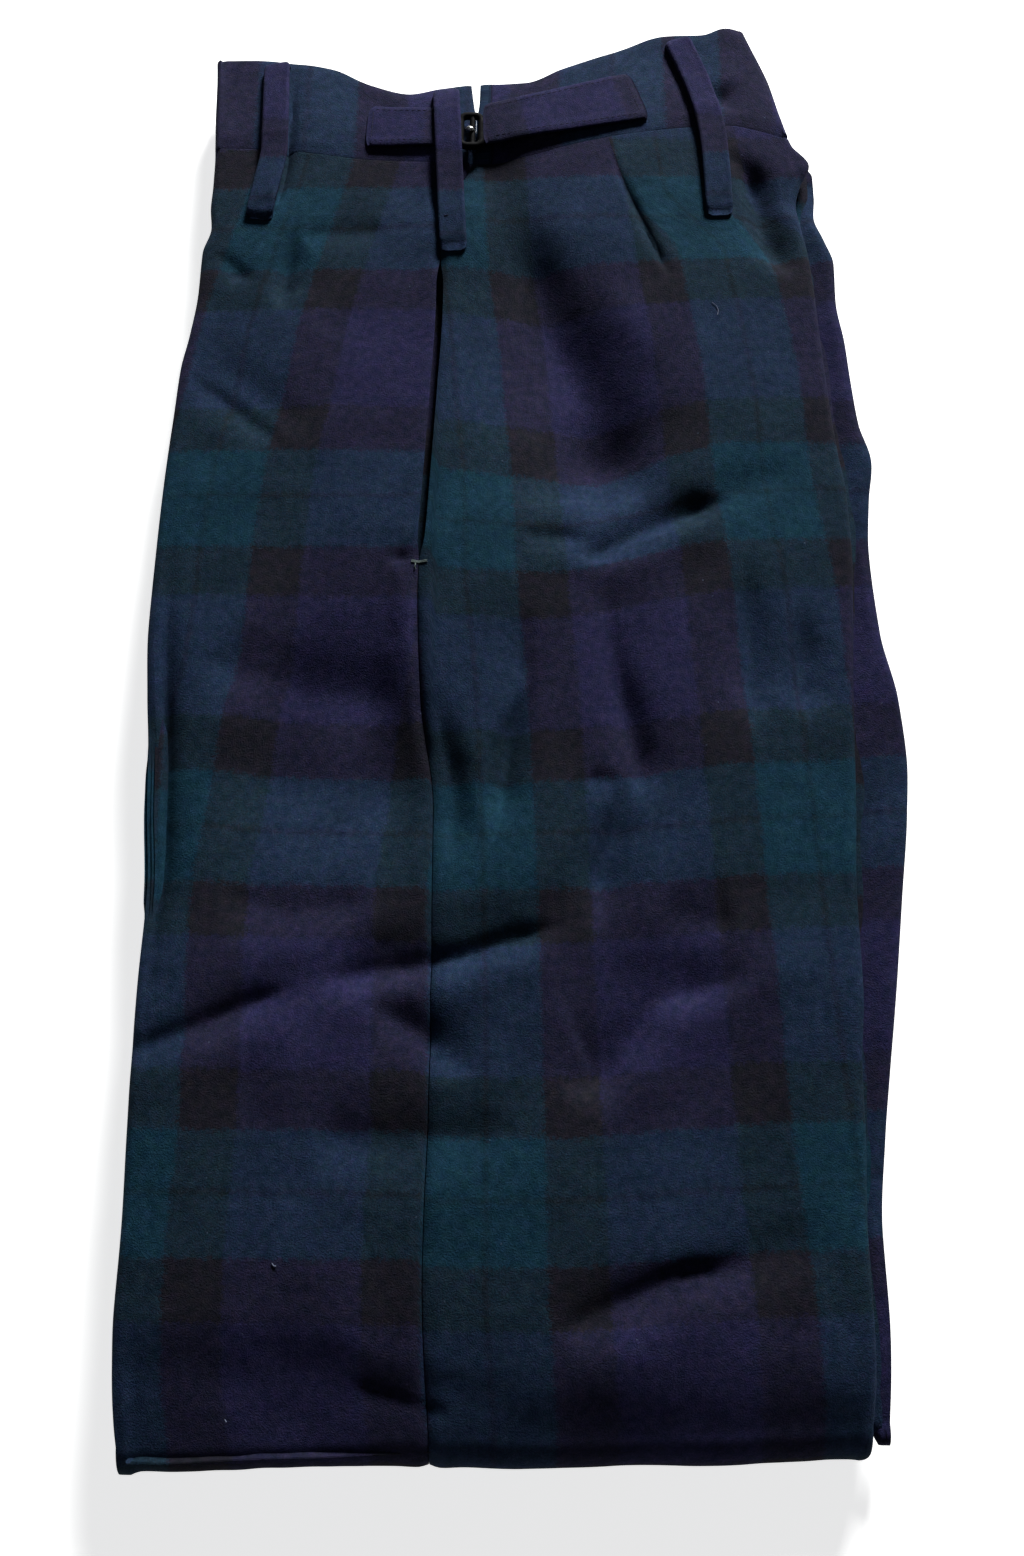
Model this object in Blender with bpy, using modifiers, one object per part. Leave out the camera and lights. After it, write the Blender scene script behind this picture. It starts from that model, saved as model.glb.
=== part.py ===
# Tartan trews in heavy wool, pressed, laid on one side and folded once across at the knee.
# The left leg lies on top. X runs from the front crease to the back crease, Y from the fold to the waist.
# The shapes are worked out in millimetres and turned to metres when a mesh is made.
import math

import bpy
import numpy as np
from mathutils import Matrix, Vector

MM = 0.001

# Driving sizes
CLOTH = 1.4  # one thickness of milled wool
BAND = 2.0  # a waistband is two cloths with canvas between
BAND_REACH = 2.8  # how far its rounded crease runs in
SEAM_GAP = 0.3
PITCH = 6.0  # from one pressed leg to the next in the stack
PRESSED = 5.7  # height of one pressed leg at its crease
LAYERS = 4
STACK = PITCH * LAYERS
FOLD_R = STACK / 2  # outside radius of the fold at the knee
REACH = 3.4  # how far the rounded crease runs in from its edge
CROWN = 1.5  # how much the cloth stands up between the creases
BED = 0.8  # room between a wall and the hidden layers, at a crease
BED_TOP = 1.8  # and under the folds between the creases
BAND_PROUD = 0.5
BACK_SLANT = 1.6  # the back crease slants at the waist, so its thickness needs this much more room
SAG = 4.2  # how far the waist end sinks, past the layers under it
SAG_FROM = 262.0
SAG_OVER = 60.0
CORNER_BULGE = 4.0  # how far the right leg's fold stands out past the left leg's back crease
TUCK = 86.0  # how far the fly and seat parts of the waistband are tucked in
UNDER_TURN = -60.0  # degrees round the crease at which a visible wall ends
LOOP_W = 10.8
LOOP_T = 2.2
TAB_T = 2.4
STRIP_CLEAR = 0.35  # a strip lies this much clear of the cloth, and its edges are as much lower
WIRE = 1.1  # radius of the buckle's wire
BUCKLE_CORNER = 2.4

# Edges of the stack along its length: the front crease, the top leg's back crease and the lower leg's.
EDGE_COLUMNS = ("y", "front", "back", "under")
EDGES = (
    (-219, -117.9, 106.3, 115.0),
    (-205, -120.3, 109.5, 116.0),
    (-190, -121.8, 111.0, 117.2),
    (-172, -123.2, 111.7, 118.2),
    (-150, -123.5, 112.4, 118.8),
    (-120, -124.2, 114.0, 122.0),
    (-98, -124.6, 114.6, 125.4),
    (-72, -124.8, 116.9, 129.6),
    (-40, -124.2, 117.2, 134.3),
    (-10, -126.5, 119.2, 138.6),
    (10, -127.7, 120.3, 140.2),
    (32, -129.7, 121.4, 139.0),
    (58, -131.3, 123.2, 134.6),
    (90, -130.9, 125.0, 133.1),
    (112, -130.3, 124.7, 134.8),
    (128, -129.6, 122.8, 137.0),
    (145, -128.6, 121.4, 133.3),
    (165, -127.5, 120.2, 131.6),
    (180, -125.1, 119.4, 130.7),
    (200, -123.0, 118.5, 128.5),
    (217, -122.7, 117.2, 128.9),
    (229, -119.9, 115.4, 125.6),
    (240, -120.8, 113.9, 122.4),
    (250, -120.5, 115.4, 122.2),
    (260, -120.5, 120.3, 122.9),
    (270, -121.0, 115.6, 117.2),
    (284, -122.0, 110.4, 111.6),
    (304, -123.1, 104.6, 105.6),
    (331, -125.3, 95.0, 96.0),
)

# Ends of the cloth across its width: the waist's top edge, the waistband seam and the fold.
END_COLUMNS = ("x", "top", "seam", "fold")
ENDS = (
    (-125, 313.5, 267.0, -222.7),
    (-108, 313.0, 266.5, -222.8),
    (-90, 310.4, 264.8, -222.0),
    (-75, 307.4, 262.4, -221.4),
    (-58, 299.4, 260.0, -221.0),
    (-42, 294.4, 259.2, -220.2),
    (-30, 296.6, 258.6, -219.6),
    (-15, 296.4, 258.4, -219.2),
    (7, 300.2, 261.5, -219.8),
    (20, 307.6, 266.0, -219.8),
    (44, 318.0, 272.6, -219.2),
    (64, 325.4, 276.3, -218.8),
    (80, 327.6, 278.0, -218.0),
    (90, 330.6, 278.4, -217.6),
    (98, 326.0, 276.6, -217.2),
    (109, 312.0, 273.0, -216.8),
    (122, 300.0, 268.0, -216.4),
)

# The side seam of the left leg, and its slit in the waistband.
SEAM_COLUMNS = ("y", "x")
SIDE_SEAM = (
    (-221, -24.8),
    (-160, -27.9),
    (-95, -26.8),
    (-10, -27.3),
    (30, -32.4),
    (72, -34.1),
    (104, -32.5),
    (152, -30.0),
    (196, -28.2),
    (215, -28.2),
    (240, -24.0),
    (262, -15.2),
    (283, -14.4),
    (300, -14.9),
)
SLIT_COLUMNS = ("y", "half")
SLIT = ((262, 0.35), (283, 0.6), (298, 1.8))
POCKET = (82, 214)  # the pocket opening, a stretch of the side seam
POCKET_EASE = 12
POCKET_LIPS = {-1: 0.7, 1: -0.5}  # the front panel's edge stands up along it, and the back panel's lies down

# Largest folds: both ends, the half width and the depth. A depth below nothing is a ridge.
FOLD_COLUMNS = ("x0", "y0", "x1", "y1", "half", "depth")
FOLDS = (
    (-122, 172, -84, 143, 7.0, 1.3),
    (-3, 252, 18, 212, 10.0, 1.9),
    (18, 212, 64, 131, 12.0, 3.0),
    (20, 93, 96, 117, 7.0, 1.5),
    (2, 50, -1, -4, 8.0, 1.4),
    (35, 67, 48, 3, 9.0, 1.5),
    (-120, -88, -44, -60, 8.0, 2.0),
    (-44, -60, 6, -48, 8.0, 1.6),
    (25, -92, 33, -42, 9.0, 1.5),
    (36, -79, 104, -64, 8.0, -1.3),
    (27, -171, 94, -151, 8.0, 1.8),
    (-51, -187, -10, -200, 7.0, 1.0),
    (98, 250, 111, 216, 6.5, 3.2),
)

# Belt loops: the middle line from the waist's top edge to the foot.
LOOP_COLUMNS = ("x", "y", "lift")
LOOPS = {
    "belt_loop_front": (
        (-97.5, 309.6, 0.4),
        (-96.0, 280.0, 1.2),
        (-97.5, 262.0, 1.6),
        (-100.6, 230.6, 0.0),
    ),
    "belt_loop_side": (
        (-27.0, 295.6, 2.4),
        (-26.2, 280.0, 3.4),
        (-25.4, 262.0, 3.3),
        (-23.0, 215.8, 0.0),
    ),
    "belt_loop_back": (
        (68.5, 324.6, 0.4),
        (76.0, 300.0, 1.2),
        (81.3, 269.0, 1.7),
        (82.6, 233.4, 0.0),
    ),
}

# Adjuster: a tab sewn to the front, a strap sewn to the back, and the buckle over the slit.
TAB_LEFT = (-58.6, 277.4)
TAB_RIGHT = (-22.4, 273.6)
TAB_W = 17.0
STRAP_LEFT = (-10.6, 272.6)
STRAP_RIGHT = (57.2, 291.0)
STRAP_WIDTHS = (17.0, 23.0)  # at the buckle and where it is sewn down
STRAP_LIFT = 3.6
BUCKLE_AT = (-16.5, 270.8)
BUCKLE_L = 11.2
BUCKLE_W = 17.6

# Hidden layers: how far each layer's creases lie in from the outline, and where its end lies.
LAYER_COLUMNS = ("front_in", "back_in", "hem")
LAYERS_UNDER = (
    (1.4, 1.5, 272.0),
    (2.6, 3.4, 266.0),
)
RIGHT_LEG_FRONT_IN = 4.2
HEM_DEEP = 5.5  # how far a groove between two hems runs in
GROOVE = 1.2  # and one between two creases
NOTCH = 2.5  # beside the right leg's panel, under the top leg's crease
BACK_SEAM_GAP = 0.9  # from the hidden layers to the waistband

# How finely the surfaces are divided
FOLD_TURNS = (15, 32, 50, 70, 90, 110, 130, 150, 166, 178)  # degrees round the fold at the knee
UNDER_FOLD_TURNS = FOLD_TURNS[:8]
CREASE_TURNS = (UNDER_TURN, -22, 12, 50)  # degrees round a crease
BAND_TURNS = (50, 12, -22, -58)
LAYER_TURNS = (-90, -50, -10, 30, 65)
FILL_TURNS = ((-90, 0.3), (-30, 0.24), (30, 0.12))  # the top leg's filling, and how far below its top
TUCK_SHARES = (0, 0.06, 0.12, 0.2, 0.3, 0.5, 0.75, 1)
BAND_SHARES = (0, 0.18, 0.4, 0.62, 0.82, 1)
UNDER_SHARES = (0, 0.4, 0.8, 1)
STRIP_SHARES = (-0.5, -0.17, 0.17, 0.5)
FRONT_SHARES = tuple(np.linspace(0, 1, 13))
BACK_SHARES = tuple(np.linspace(0, 1, 19))
LAYER_SHARES = tuple(np.linspace(0, 1, 18))
PANEL_ROWS = 36
ROW_BIAS = 1.3
LOOP_STEPS = 12
STRAP_STEPS = 9

# Heights of the two upper layers' middles, and the fold inside the right leg
TOP_Z = STACK - PITCH / 2
UNDER_Z = TOP_Z - PITCH
INNER_NOSE = PRESSED - CLOTH - 2 * SEAM_GAP


def smooth_rows(rows, names, column, at):
    """Values of one column on a smooth curve through the rows, which never swings past them."""
    table = np.array(rows, float)
    x = table[:, 0]
    v = table[:, names.index(column)]
    step = np.diff(x)
    rise = np.diff(v) / step
    slope = np.concatenate([rise[:1], np.zeros(len(x) - 2), rise[-1:]])
    alike = rise[:-1] * rise[1:] > 0
    slope[1:-1][alike] = 2 * rise[:-1][alike] * rise[1:][alike] / (rise[:-1] + rise[1:])[alike]
    at = np.clip(np.asarray(at, float), x[0], x[-1])
    k = np.clip(np.searchsorted(x, at) - 1, 0, len(x) - 2)
    t = (at - x[k]) / step[k]
    return (
        v[k] * (1 + 2 * t) * (1 - t) ** 2
        + slope[k] * step[k] * t * (1 - t) ** 2
        + v[k + 1] * t * t * (3 - 2 * t)
        - slope[k + 1] * step[k] * t * t * (1 - t)
    )


def edge(column, y):
    return smooth_rows(EDGES, EDGE_COLUMNS, column, y)


def end(column, x):
    return smooth_rows(ENDS, END_COLUMNS, column, x)


def side_seam(y):
    return smooth_rows(SIDE_SEAM, SEAM_COLUMNS, "x", y)


def ease(t):
    t = np.clip(t, 0, 1)
    return t * t * (3 - 2 * t)


def sunk(z, y):
    """Height after the waist end has sunk, past the lower legs' hems."""
    return z - SAG * ease((y - SAG_FROM) / SAG_OVER) * np.clip(z / (STACK / 2), 0, 1)


def fold_height(x, y):
    """Sum of the largest folds, each a soft trough or ridge that fades at its ends."""
    height = np.zeros(np.broadcast(x, y).shape)
    for row in FOLDS:
        fold = dict(zip(FOLD_COLUMNS, row))
        dx = fold["x1"] - fold["x0"]
        dy = fold["y1"] - fold["y0"]
        length = math.hypot(dx, dy)
        run = ((x - fold["x0"]) * dx + (y - fold["y0"]) * dy) / length
        past = np.maximum(0, np.maximum(-run, run - length))
        off = ((y - fold["y0"]) * dx - (x - fold["x0"]) * dy) / length
        fade = np.exp(-((off / fold["half"]) ** 2) - (past / (1.4 * fold["half"])) ** 2)
        height -= fold["depth"] * fade
    return height


def top_height(x, y):
    """Outer height of the top leg's cloth: a low crown with the folds on it, level at its edges."""
    front = edge("front", y)
    back = edge("back", y)
    across = np.clip((x - front - REACH) / (back - front - 2 * REACH), 0, 1)
    from_fold = y - end("fold", x) - FOLD_R
    fade = ease(across * 9) * ease((1 - across) * 9) * ease(from_fold / 16)
    crown = CROWN * np.sin(math.pi * across) ** 0.7 * ease(from_fold / 40)
    return STACK - (PITCH - PRESSED) / 2 + crown + fold_height(x, y) * fade


def crease_turn(degrees, layer_z, edge_x, side, top=None):
    """A point on the rounded crease: 90 degrees is its top, 0 its edge, and below 0 it runs under."""
    t = math.radians(degrees)
    x = edge_x - side * REACH * (1 - math.cos(t))
    half = PRESSED / 2
    rise = half if top is None or t < 0 else top - layer_z
    return x, layer_z + rise * math.sin(t)


def rows_along(lower, upper, count, bias=1.0):
    """Shares along the leg, closer together towards the waist as bias grows."""
    t = np.linspace(0, 1, count)
    return lower + (upper - lower) * (1 - (1 - t) ** bias)


def make_object(name, verts, faces, colour, roughness=0.9, metallic=0.0):
    mesh = bpy.data.meshes.new(name)
    mesh.from_pydata([tuple(p * MM for p in v) for v in verts], [], faces)
    mesh.validate()
    piece = bpy.data.objects.new(name, mesh)
    parts.objects.link(piece)
    finish(piece, colour, roughness, metallic)
    return piece


def finish(piece, colour, roughness, metallic):
    material = bpy.data.materials.new(piece.name)
    material.use_nodes = True
    shader = material.node_tree.nodes["Principled BSDF"]
    shader.inputs["Base Color"].default_value = (*colour, 1)
    shader.inputs["Roughness"].default_value = roughness
    shader.inputs["Metallic"].default_value = metallic
    piece.data.materials.append(material)
    piece.data.shade_smooth()


def grid_faces(n, m, flip=False):
    """Quads of a grid of n by m points."""
    quads = []
    for i in range(n - 1):
        for j in range(m - 1):
            quad = (i * m + j, (i + 1) * m + j, (i + 1) * m + j + 1, i * m + j + 1)
            quads.append(quad[::-1] if flip else quad)
    return quads


def wall(name, grid, thickness, colour):
    """A cloth wall: an open surface of outer points, thickened inwards."""
    n, m = len(grid), len(grid[0])
    piece = make_object(name, [p for row in grid for p in row], grid_faces(n, m), colour)
    solid = piece.modifiers.new("Wall", "SOLIDIFY")
    solid.thickness = thickness * MM
    solid.offset = -1
    solid.use_even_offset = True
    return piece


def bend(x, z, turn, fold_y, radius):
    """Carries a point of a layer round the knee fold by turn degrees, about the fold's axis."""
    axis_y = fold_y + radius
    out = z - FOLD_R
    t = math.radians(turn)
    return (x, axis_y - out * math.sin(t), FOLD_R + out * math.cos(t))


def leg_panel(name, shares, side, colour):
    """One panel of the top leg: over the top, round its crease and round the knee fold."""
    grid = []
    straight = rows_along(0, 1, PANEL_ROWS, ROW_BIAS)
    stations = [("crease", a) for a in CREASE_TURNS] + [("top", s) for s in shares]
    for kind, value in stations[::-1] if side < 0 else stations:
        row = []
        for t in straight[::-1]:
            x = 0.0
            y = 0.0
            for _ in range(4):
                low = float(end("fold", x)) + FOLD_R
                high = float(end("seam", x)) - SEAM_GAP / 2
                y = low + (high - low) * t
                crease = float(edge("front" if side < 0 else "back", y))
                roll_end = crease - side * REACH
                seam = float(side_seam(y)) + side * SEAM_GAP / 2
                x = roll_end + (seam - roll_end) * value if kind == "top" else roll_end
            if kind == "top":
                z = float(top_height(x, y)) + pocket_lip(x, y, side)
                row.append((x, y, sunk(z, y)))
            else:
                edge_top = float(top_height(roll_end, y))
                px, pz = crease_turn(value, TOP_Z, crease, side, edge_top)
                row.append((px, y, sunk(pz, y)))
        x, y, z = row[-1]
        fold_y = y - FOLD_R
        row += [bend(x, z, turn, fold_y, FOLD_R) for turn in FOLD_TURNS]
        grid.append(row)
    return wall(name, grid, CLOTH, colour)


def pocket_lip(x, y, side):
    """How much a panel's edge stands up or lies down along the pocket opening."""
    opening = ease((y - POCKET[0]) / POCKET_EASE) * ease((POCKET[1] - y) / POCKET_EASE)
    near = math.exp(-(((x - float(side_seam(y))) / 5.0) ** 2))
    return float(opening * near * POCKET_LIPS[side])


def under_reach(y):
    """Where the right leg's back panel ends under the top leg's back crease."""
    return min(float(edge("back", y)), float(edge("under", y)) - 1.0) - REACH - 0.2


def under_panel(name, colour):
    """What shows of the right leg: its back panel, past the top leg's crease and round its own."""
    grid = []
    straight = rows_along(0, 1, PANEL_ROWS, ROW_BIAS)
    axis_y = float(end("fold", 110)) + FOLD_R
    flat_top = UNDER_Z + PRESSED / 2
    stations = [("crease", a) for a in CREASE_TURNS] + [("top", s) for s in UNDER_SHARES]
    past = float(edge("back", -205)) + 0.5
    for kind, value in stations:
        row = []
        for t in straight[::-1]:
            high = float(end("seam", 112)) - 2 * SEAM_GAP
            y = axis_y + (high - axis_y) * t
            outer = float(edge("under", y))
            roll_end = outer - REACH
            inner = under_reach(y)
            if kind == "top":
                row.append((roll_end + (inner - roll_end) * value, y, sunk(flat_top, y)))
            else:
                px, pz = crease_turn(value, UNDER_Z, outer, 1)
                row.append((px, y, sunk(pz, y)))
        x, y, z = row[-1]
        bulge = CORNER_BULGE * float(ease((x - past) / 3.0))
        for turn in UNDER_FOLD_TURNS:
            out = z + bulge * math.sin(math.radians(turn)) ** 2
            row.append(bend(x, out, turn, axis_y - PRESSED, PRESSED))
        grid.append(row)
    return wall(name, grid, CLOTH, colour)


def band(name, shares, side, upper, colour):
    """Half of one side's waistband: the outer face from the slit to the crease, turned in and tucked back."""
    grid = []
    half_z = TOP_Z if upper else UNDER_Z
    lift = BAND_PROUD if upper else 0.0
    foot_gap = SEAM_GAP / 2 if upper else 2 * SEAM_GAP
    stations = [("top", s) for s in shares[::-1]]
    stations += [("crease", a) for a in BAND_TURNS] + [("tuck", s) for s in TUCK_SHARES]
    for kind, value in stations:
        row = []
        for t in BAND_SHARES:
            x = 0.0
            roll_end = 0.0
            slant = BACK_SLANT if side > 0 and kind == "crease" else 0.0
            for _ in range(5):
                at = roll_end if kind == "crease" else x
                low = float(end("seam", at)) + foot_gap + slant
                y = low + (float(end("top", at)) - low) * t
                crease = float(edge("front" if side < 0 else "back", y))
                roll_end = crease - side * BAND_REACH
                slit = float(side_seam(y)) + side * float(smooth_rows(SLIT, SLIT_COLUMNS, "half", y))
                if kind == "top":
                    x = roll_end + (slit - roll_end) * value
                elif kind == "tuck":
                    x = roll_end - side * TUCK * value
                else:
                    x = crease - side * BAND_REACH * (1 - math.cos(math.radians(value)))
            if kind == "top":
                rise = float(top_height(x, y)) + lift - half_z if upper else PRESSED / 2
            elif kind == "tuck":
                rise = -PRESSED / 2
            else:
                rise = (PRESSED / 2 + (lift if value > 0 else 0)) * math.sin(math.radians(value))
            row.append((x, y, sunk(half_z + (rise if upper else -rise), y)))
        grid.append(row)
    if (side < 0) == upper:
        grid = grid[::-1]
    return wall(name, grid, BAND, colour)


def skin(x, y):
    """Outermost height of panels and waistbands together."""
    x = np.asarray(x, float)
    y = np.asarray(y, float)
    over_band = ease((y - end("seam", x) + 2) / 2) * BAND_PROUD
    return top_height(x, y) + over_band


def strip(name, centres, width, thickness, colour):
    """A flat strip on the cloth: a middle line of x, y and clear height, with its width across."""
    line = np.array(centres, float)
    ahead = np.gradient(line[:, :2], axis=0)
    ahead /= np.linalg.norm(ahead, axis=1)[:, None]
    across = np.stack([ahead[:, 1], -ahead[:, 0]], axis=1)
    grid = []
    widths = np.broadcast_to(np.asarray(width, float), len(line))
    for share in STRIP_SHARES:
        row = []
        for (x, y, lift), (ax, ay), wide in zip(line, across, widths):
            px = x + ax * wide * share
            py = y + ay * wide * share
            near = [skin(x + ax * wide * s, y + ay * wide * s) for s in (-0.5, 0, 0.5)]
            base = 0.8 * float(max(near)) + 0.2 * float(skin(px, py))
            lowered = STRIP_CLEAR if abs(share) > 0.4 else 0
            row.append((px, py, sunk(base + SEAM_GAP + STRIP_CLEAR + lift + thickness - lowered, py)))
        grid.append(row)
    return wall(name, grid, thickness, colour)


def belt_loop(name, rows, colour):
    """A loop sewn in at the waist's top edge and to the panel at its foot, bowed between them."""
    table = np.array(rows, float)
    share = np.linspace(0, 1, len(table))
    fine = np.linspace(0, 1, LOOP_STEPS)
    columns = []
    for k in range(len(LOOP_COLUMNS)):
        rows_of_one = np.stack([share, table[:, k]], axis=1)
        columns.append(smooth_rows(rows_of_one, ("share", "value"), "value", fine))
    return strip(name, np.stack(columns, axis=1), LOOP_W, LOOP_T, colour)


def straight_strip(name, start, stop, widths, lifts, colour):
    """A strip along a straight line, its width and lift changing evenly from end to end."""
    share = np.linspace(0, 1, STRAP_STEPS)
    width = widths[0] + (widths[1] - widths[0]) * share
    lift = lifts[0] + (lifts[1] - lifts[0]) * ease(share)
    x = start[0] + (stop[0] - start[0]) * share
    y = start[1] + (stop[1] - start[1]) * share
    return strip(name, np.stack([x, y, lift], axis=1), width, TAB_T, colour)


def buckle(name, colour):
    """A wire frame with a middle bar, lying across the slit."""
    x, y = BUCKLE_AT
    height = sunk(float(skin(x, y)) + SEAM_GAP + 0.4 + WIRE, y)
    half_l = BUCKLE_L / 2 - WIRE
    half_w = BUCKLE_W / 2 - WIRE
    curve = bpy.data.curves.new(name, "CURVE")
    curve.dimensions = "3D"
    curve.bevel_depth = WIRE * MM
    curve.bevel_resolution = 1
    spline = curve.splines.new("POLY")
    points = []
    for cx, cy, first in ((1, 1, 0), (-1, 1, 90), (-1, -1, 180), (1, -1, 270)):
        for a in (0, 45, 90):
            t = math.radians(first + a)
            px = cx * (half_l - BUCKLE_CORNER) + BUCKLE_CORNER * math.cos(t)
            py = cy * (half_w - BUCKLE_CORNER) + BUCKLE_CORNER * math.sin(t)
            points.append((px, py))
    spline.points.add(len(points) - 1)
    for point, (px, py) in zip(spline.points, points):
        point.co = ((x + px) * MM, (y + py) * MM, height * MM, 1)
    spline.use_cyclic_u = True
    guide = bpy.data.objects.new(name + "_guide", curve)
    bpy.context.scene.collection.objects.link(guide)
    bpy.context.view_layer.update()
    mesh = bpy.data.meshes.new_from_object(guide.evaluated_get(bpy.context.evaluated_depsgraph_get()))
    mesh.name = name
    piece = bpy.data.objects.new(name, mesh)
    parts.objects.link(piece)
    bpy.data.objects.remove(guide)
    piece.data.materials.clear()
    finish(piece, colour, 0.35, 0.9)
    return piece


def layer_row(z, front, back, nose, stop, back_z=None):
    """One row up the side of the hidden layers: its height and inset at each crease, its nose and its end."""
    return {
        "z": z,
        "back_z": z if back_z is None else back_z,
        "front": front,
        "back": back,
        "nose": nose,
        "stop": stop,
    }


def lower_layer_rows():
    """The lower half of the stack: both lower legs, each a rounded lobe with a groove over it."""
    rows = []
    for k, values in enumerate(LAYERS_UNDER):
        layer = dict(zip(LAYER_COLUMNS, values))
        middle = PITCH * (k + 0.5)
        back = "back" if k == 0 else "under"
        nose = ("flat", 1.2) if k == 0 else ("round", INNER_NOSE)
        for a in LAYER_TURNS:
            inset = REACH * (1 - math.cos(math.radians(a)))
            rests = k == 0 and a == LAYER_TURNS[0]
            z = 0.0 if rests else middle + PRESSED / 2 * math.sin(math.radians(a))
            front_in = layer["front_in"] + inset
            back_in = layer["back_in"] + inset
            stop = ("hem", layer["hem"] - 0.8 * inset)
            rows.append(layer_row(z, ("front", front_in), (back, back_in), nose, stop))
        groove = REACH + GROOVE
        nose = ("flat", 1.8) if k == 0 else ("round", INNER_NOSE)
        front = ("front", max(layer["front_in"], 2.6) + groove)
        stop = ("hem", layer["hem"] - HEM_DEEP)
        rows.append(layer_row(PITCH * (k + 1), front, (back, layer["back_in"] + groove), nose, stop))
    return rows


def upper_layer_rows():
    """The upper half: the right leg inside its panel, a groove, and the filling of the top leg."""
    half = PRESSED / 2
    inset_x = CLOTH + BED
    inset_z = half - inset_x
    stop = ("seam", BACK_SEAM_GAP)
    rows = []
    for a in (-90, -40, 10, 60):
        sine = math.sin(math.radians(a))
        cosine = math.cos(math.radians(a))
        front = ("front", RIGHT_LEG_FRONT_IN + REACH * (1 - cosine))
        back = ("under", REACH - (REACH - inset_x) * cosine + SEAM_GAP)
        nose = ("round", INNER_NOSE)
        rows.append(layer_row(UNDER_Z + half * sine, front, back, nose, stop, UNDER_Z + inset_z * sine))
    low = UNDER_Z + inset_z
    front_in = RIGHT_LEG_FRONT_IN + REACH
    rows.append(layer_row(UNDER_Z + half, ("front", front_in), ("under", REACH), ("flat", 0), stop, low))
    rows.append(layer_row(STACK - PITCH, ("front", front_in + 1), ("inner", NOTCH), ("flat", 1.5), stop, low))
    fill_top = TOP_Z + half - CLOTH - BED_TOP
    for a, below in FILL_TURNS:
        inset = REACH - (REACH - inset_x) * math.cos(math.radians(a))
        nose = ("round", FOLD_R - inset_x)
        rows.append(layer_row(fill_top - below, ("front", inset), ("back", inset), nose, stop))
    rows.append(layer_row(fill_top, ("front", REACH), ("back", REACH), ("flat", 0), stop))
    return rows


def layer_edge(where, y):
    """X of a layer's crease at y, for an edge's name and how far in from it the layer lies."""
    name, inset = where
    if name == "inner":
        return under_reach(y) - inset
    value = float(edge(name, y))
    return value + inset if name == "front" else value - inset


def layer_point(row, across, along, is_top):
    """A point of the hidden layers, for its shares across and along a row."""
    z = row["z"] + (row["back_z"] - row["z"]) * across**8
    kind, reach = row["nose"]
    nose = FOLD_R + reach
    if kind == "round":
        nose = FOLD_R - math.sqrt(max(0.0, reach**2 - (z - FOLD_R) ** 2))
    kind, value = row["stop"]
    x = 0.0
    for _ in range(5):
        low = float(end("fold", x)) + nose
        high = value if kind == "hem" else float(end("seam", x)) - value
        y = low + (high - low) * along
        x = layer_edge(row["front"], y) * (1 - across) + layer_edge(row["back"], y) * across
    if is_top:
        z = float(top_height(x, y)) - CLOTH - BED_TOP
    return (x, y, sunk(z, y))


def lattice_faces(counts, number):
    """Quads on the six sides of a box lattice with the given counts, facing out."""
    faces = []
    for axis in range(3):
        u = (axis + 1) % 3
        v = (axis + 2) % 3
        for level in (0, counts[axis] - 1):
            for i in range(counts[u] - 1):
                for j in range(counts[v] - 1):
                    quad = []
                    for di, dj in ((0, 0), (1, 0), (1, 1), (0, 1)):
                        key = [0, 0, 0]
                        key[axis] = level
                        key[u] = i + di
                        key[v] = j + dj
                        quad.append(number[tuple(key)])
                    faces.append(quad if level else quad[::-1])
    return faces


def folded_layers(name, colour):
    """The right leg and both lower legs as one rounded solid, grooved between the layers' edges."""
    rows = lower_layer_rows() + upper_layer_rows()
    along = rows_along(0, 1, PANEL_ROWS, ROW_BIAS)
    counts = (len(LAYER_SHARES), len(along), len(rows))
    number = {}
    verts = []
    for a in range(counts[0]):
        for b in range(counts[1]):
            for c in range(counts[2]):
                inside = 0 < a < counts[0] - 1 and 0 < b < counts[1] - 1 and 0 < c < counts[2] - 1
                if not inside:
                    number[a, b, c] = len(verts)
                    is_top = c == counts[2] - 1
                    verts.append(layer_point(rows[c], LAYER_SHARES[a], along[b], is_top))
    return make_object(name, verts, lattice_faces(counts, number), colour)


for old in list(bpy.data.objects):
    bpy.data.objects.remove(old)
parts = bpy.data.collections.new("tartan_trews")
bpy.context.scene.collection.children.link(parts)

BLUE_GREEN = (0.012, 0.035, 0.05)
NAVY = (0.018, 0.016, 0.04)
STEEL = (0.5, 0.5, 0.5)

leg_panel("left_leg_front_panel", FRONT_SHARES, -1, BLUE_GREEN)
leg_panel("left_leg_back_panel", BACK_SHARES, 1, BLUE_GREEN)
under_panel("right_leg_back_panel", NAVY)
band("waistband_front_left", FRONT_SHARES, -1, True, BLUE_GREEN)
band("waistband_back_left", BACK_SHARES, 1, True, BLUE_GREEN)
band("waistband_front_right", FRONT_SHARES[::2], -1, False, NAVY)
band("waistband_back_right", BACK_SHARES[::2], 1, False, NAVY)
for loop_name, loop_rows in LOOPS.items():
    belt_loop(loop_name, loop_rows, NAVY)
straight_strip("adjuster_tab_front", TAB_LEFT, TAB_RIGHT, (TAB_W, TAB_W), (0.2, 0.4), NAVY)
straight_strip("adjuster_strap_back", STRAP_LEFT, STRAP_RIGHT, STRAP_WIDTHS, (STRAP_LIFT, 0.3), NAVY)
buckle("adjuster_buckle", STEEL)
folded_layers("folded_layers", NAVY)


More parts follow.
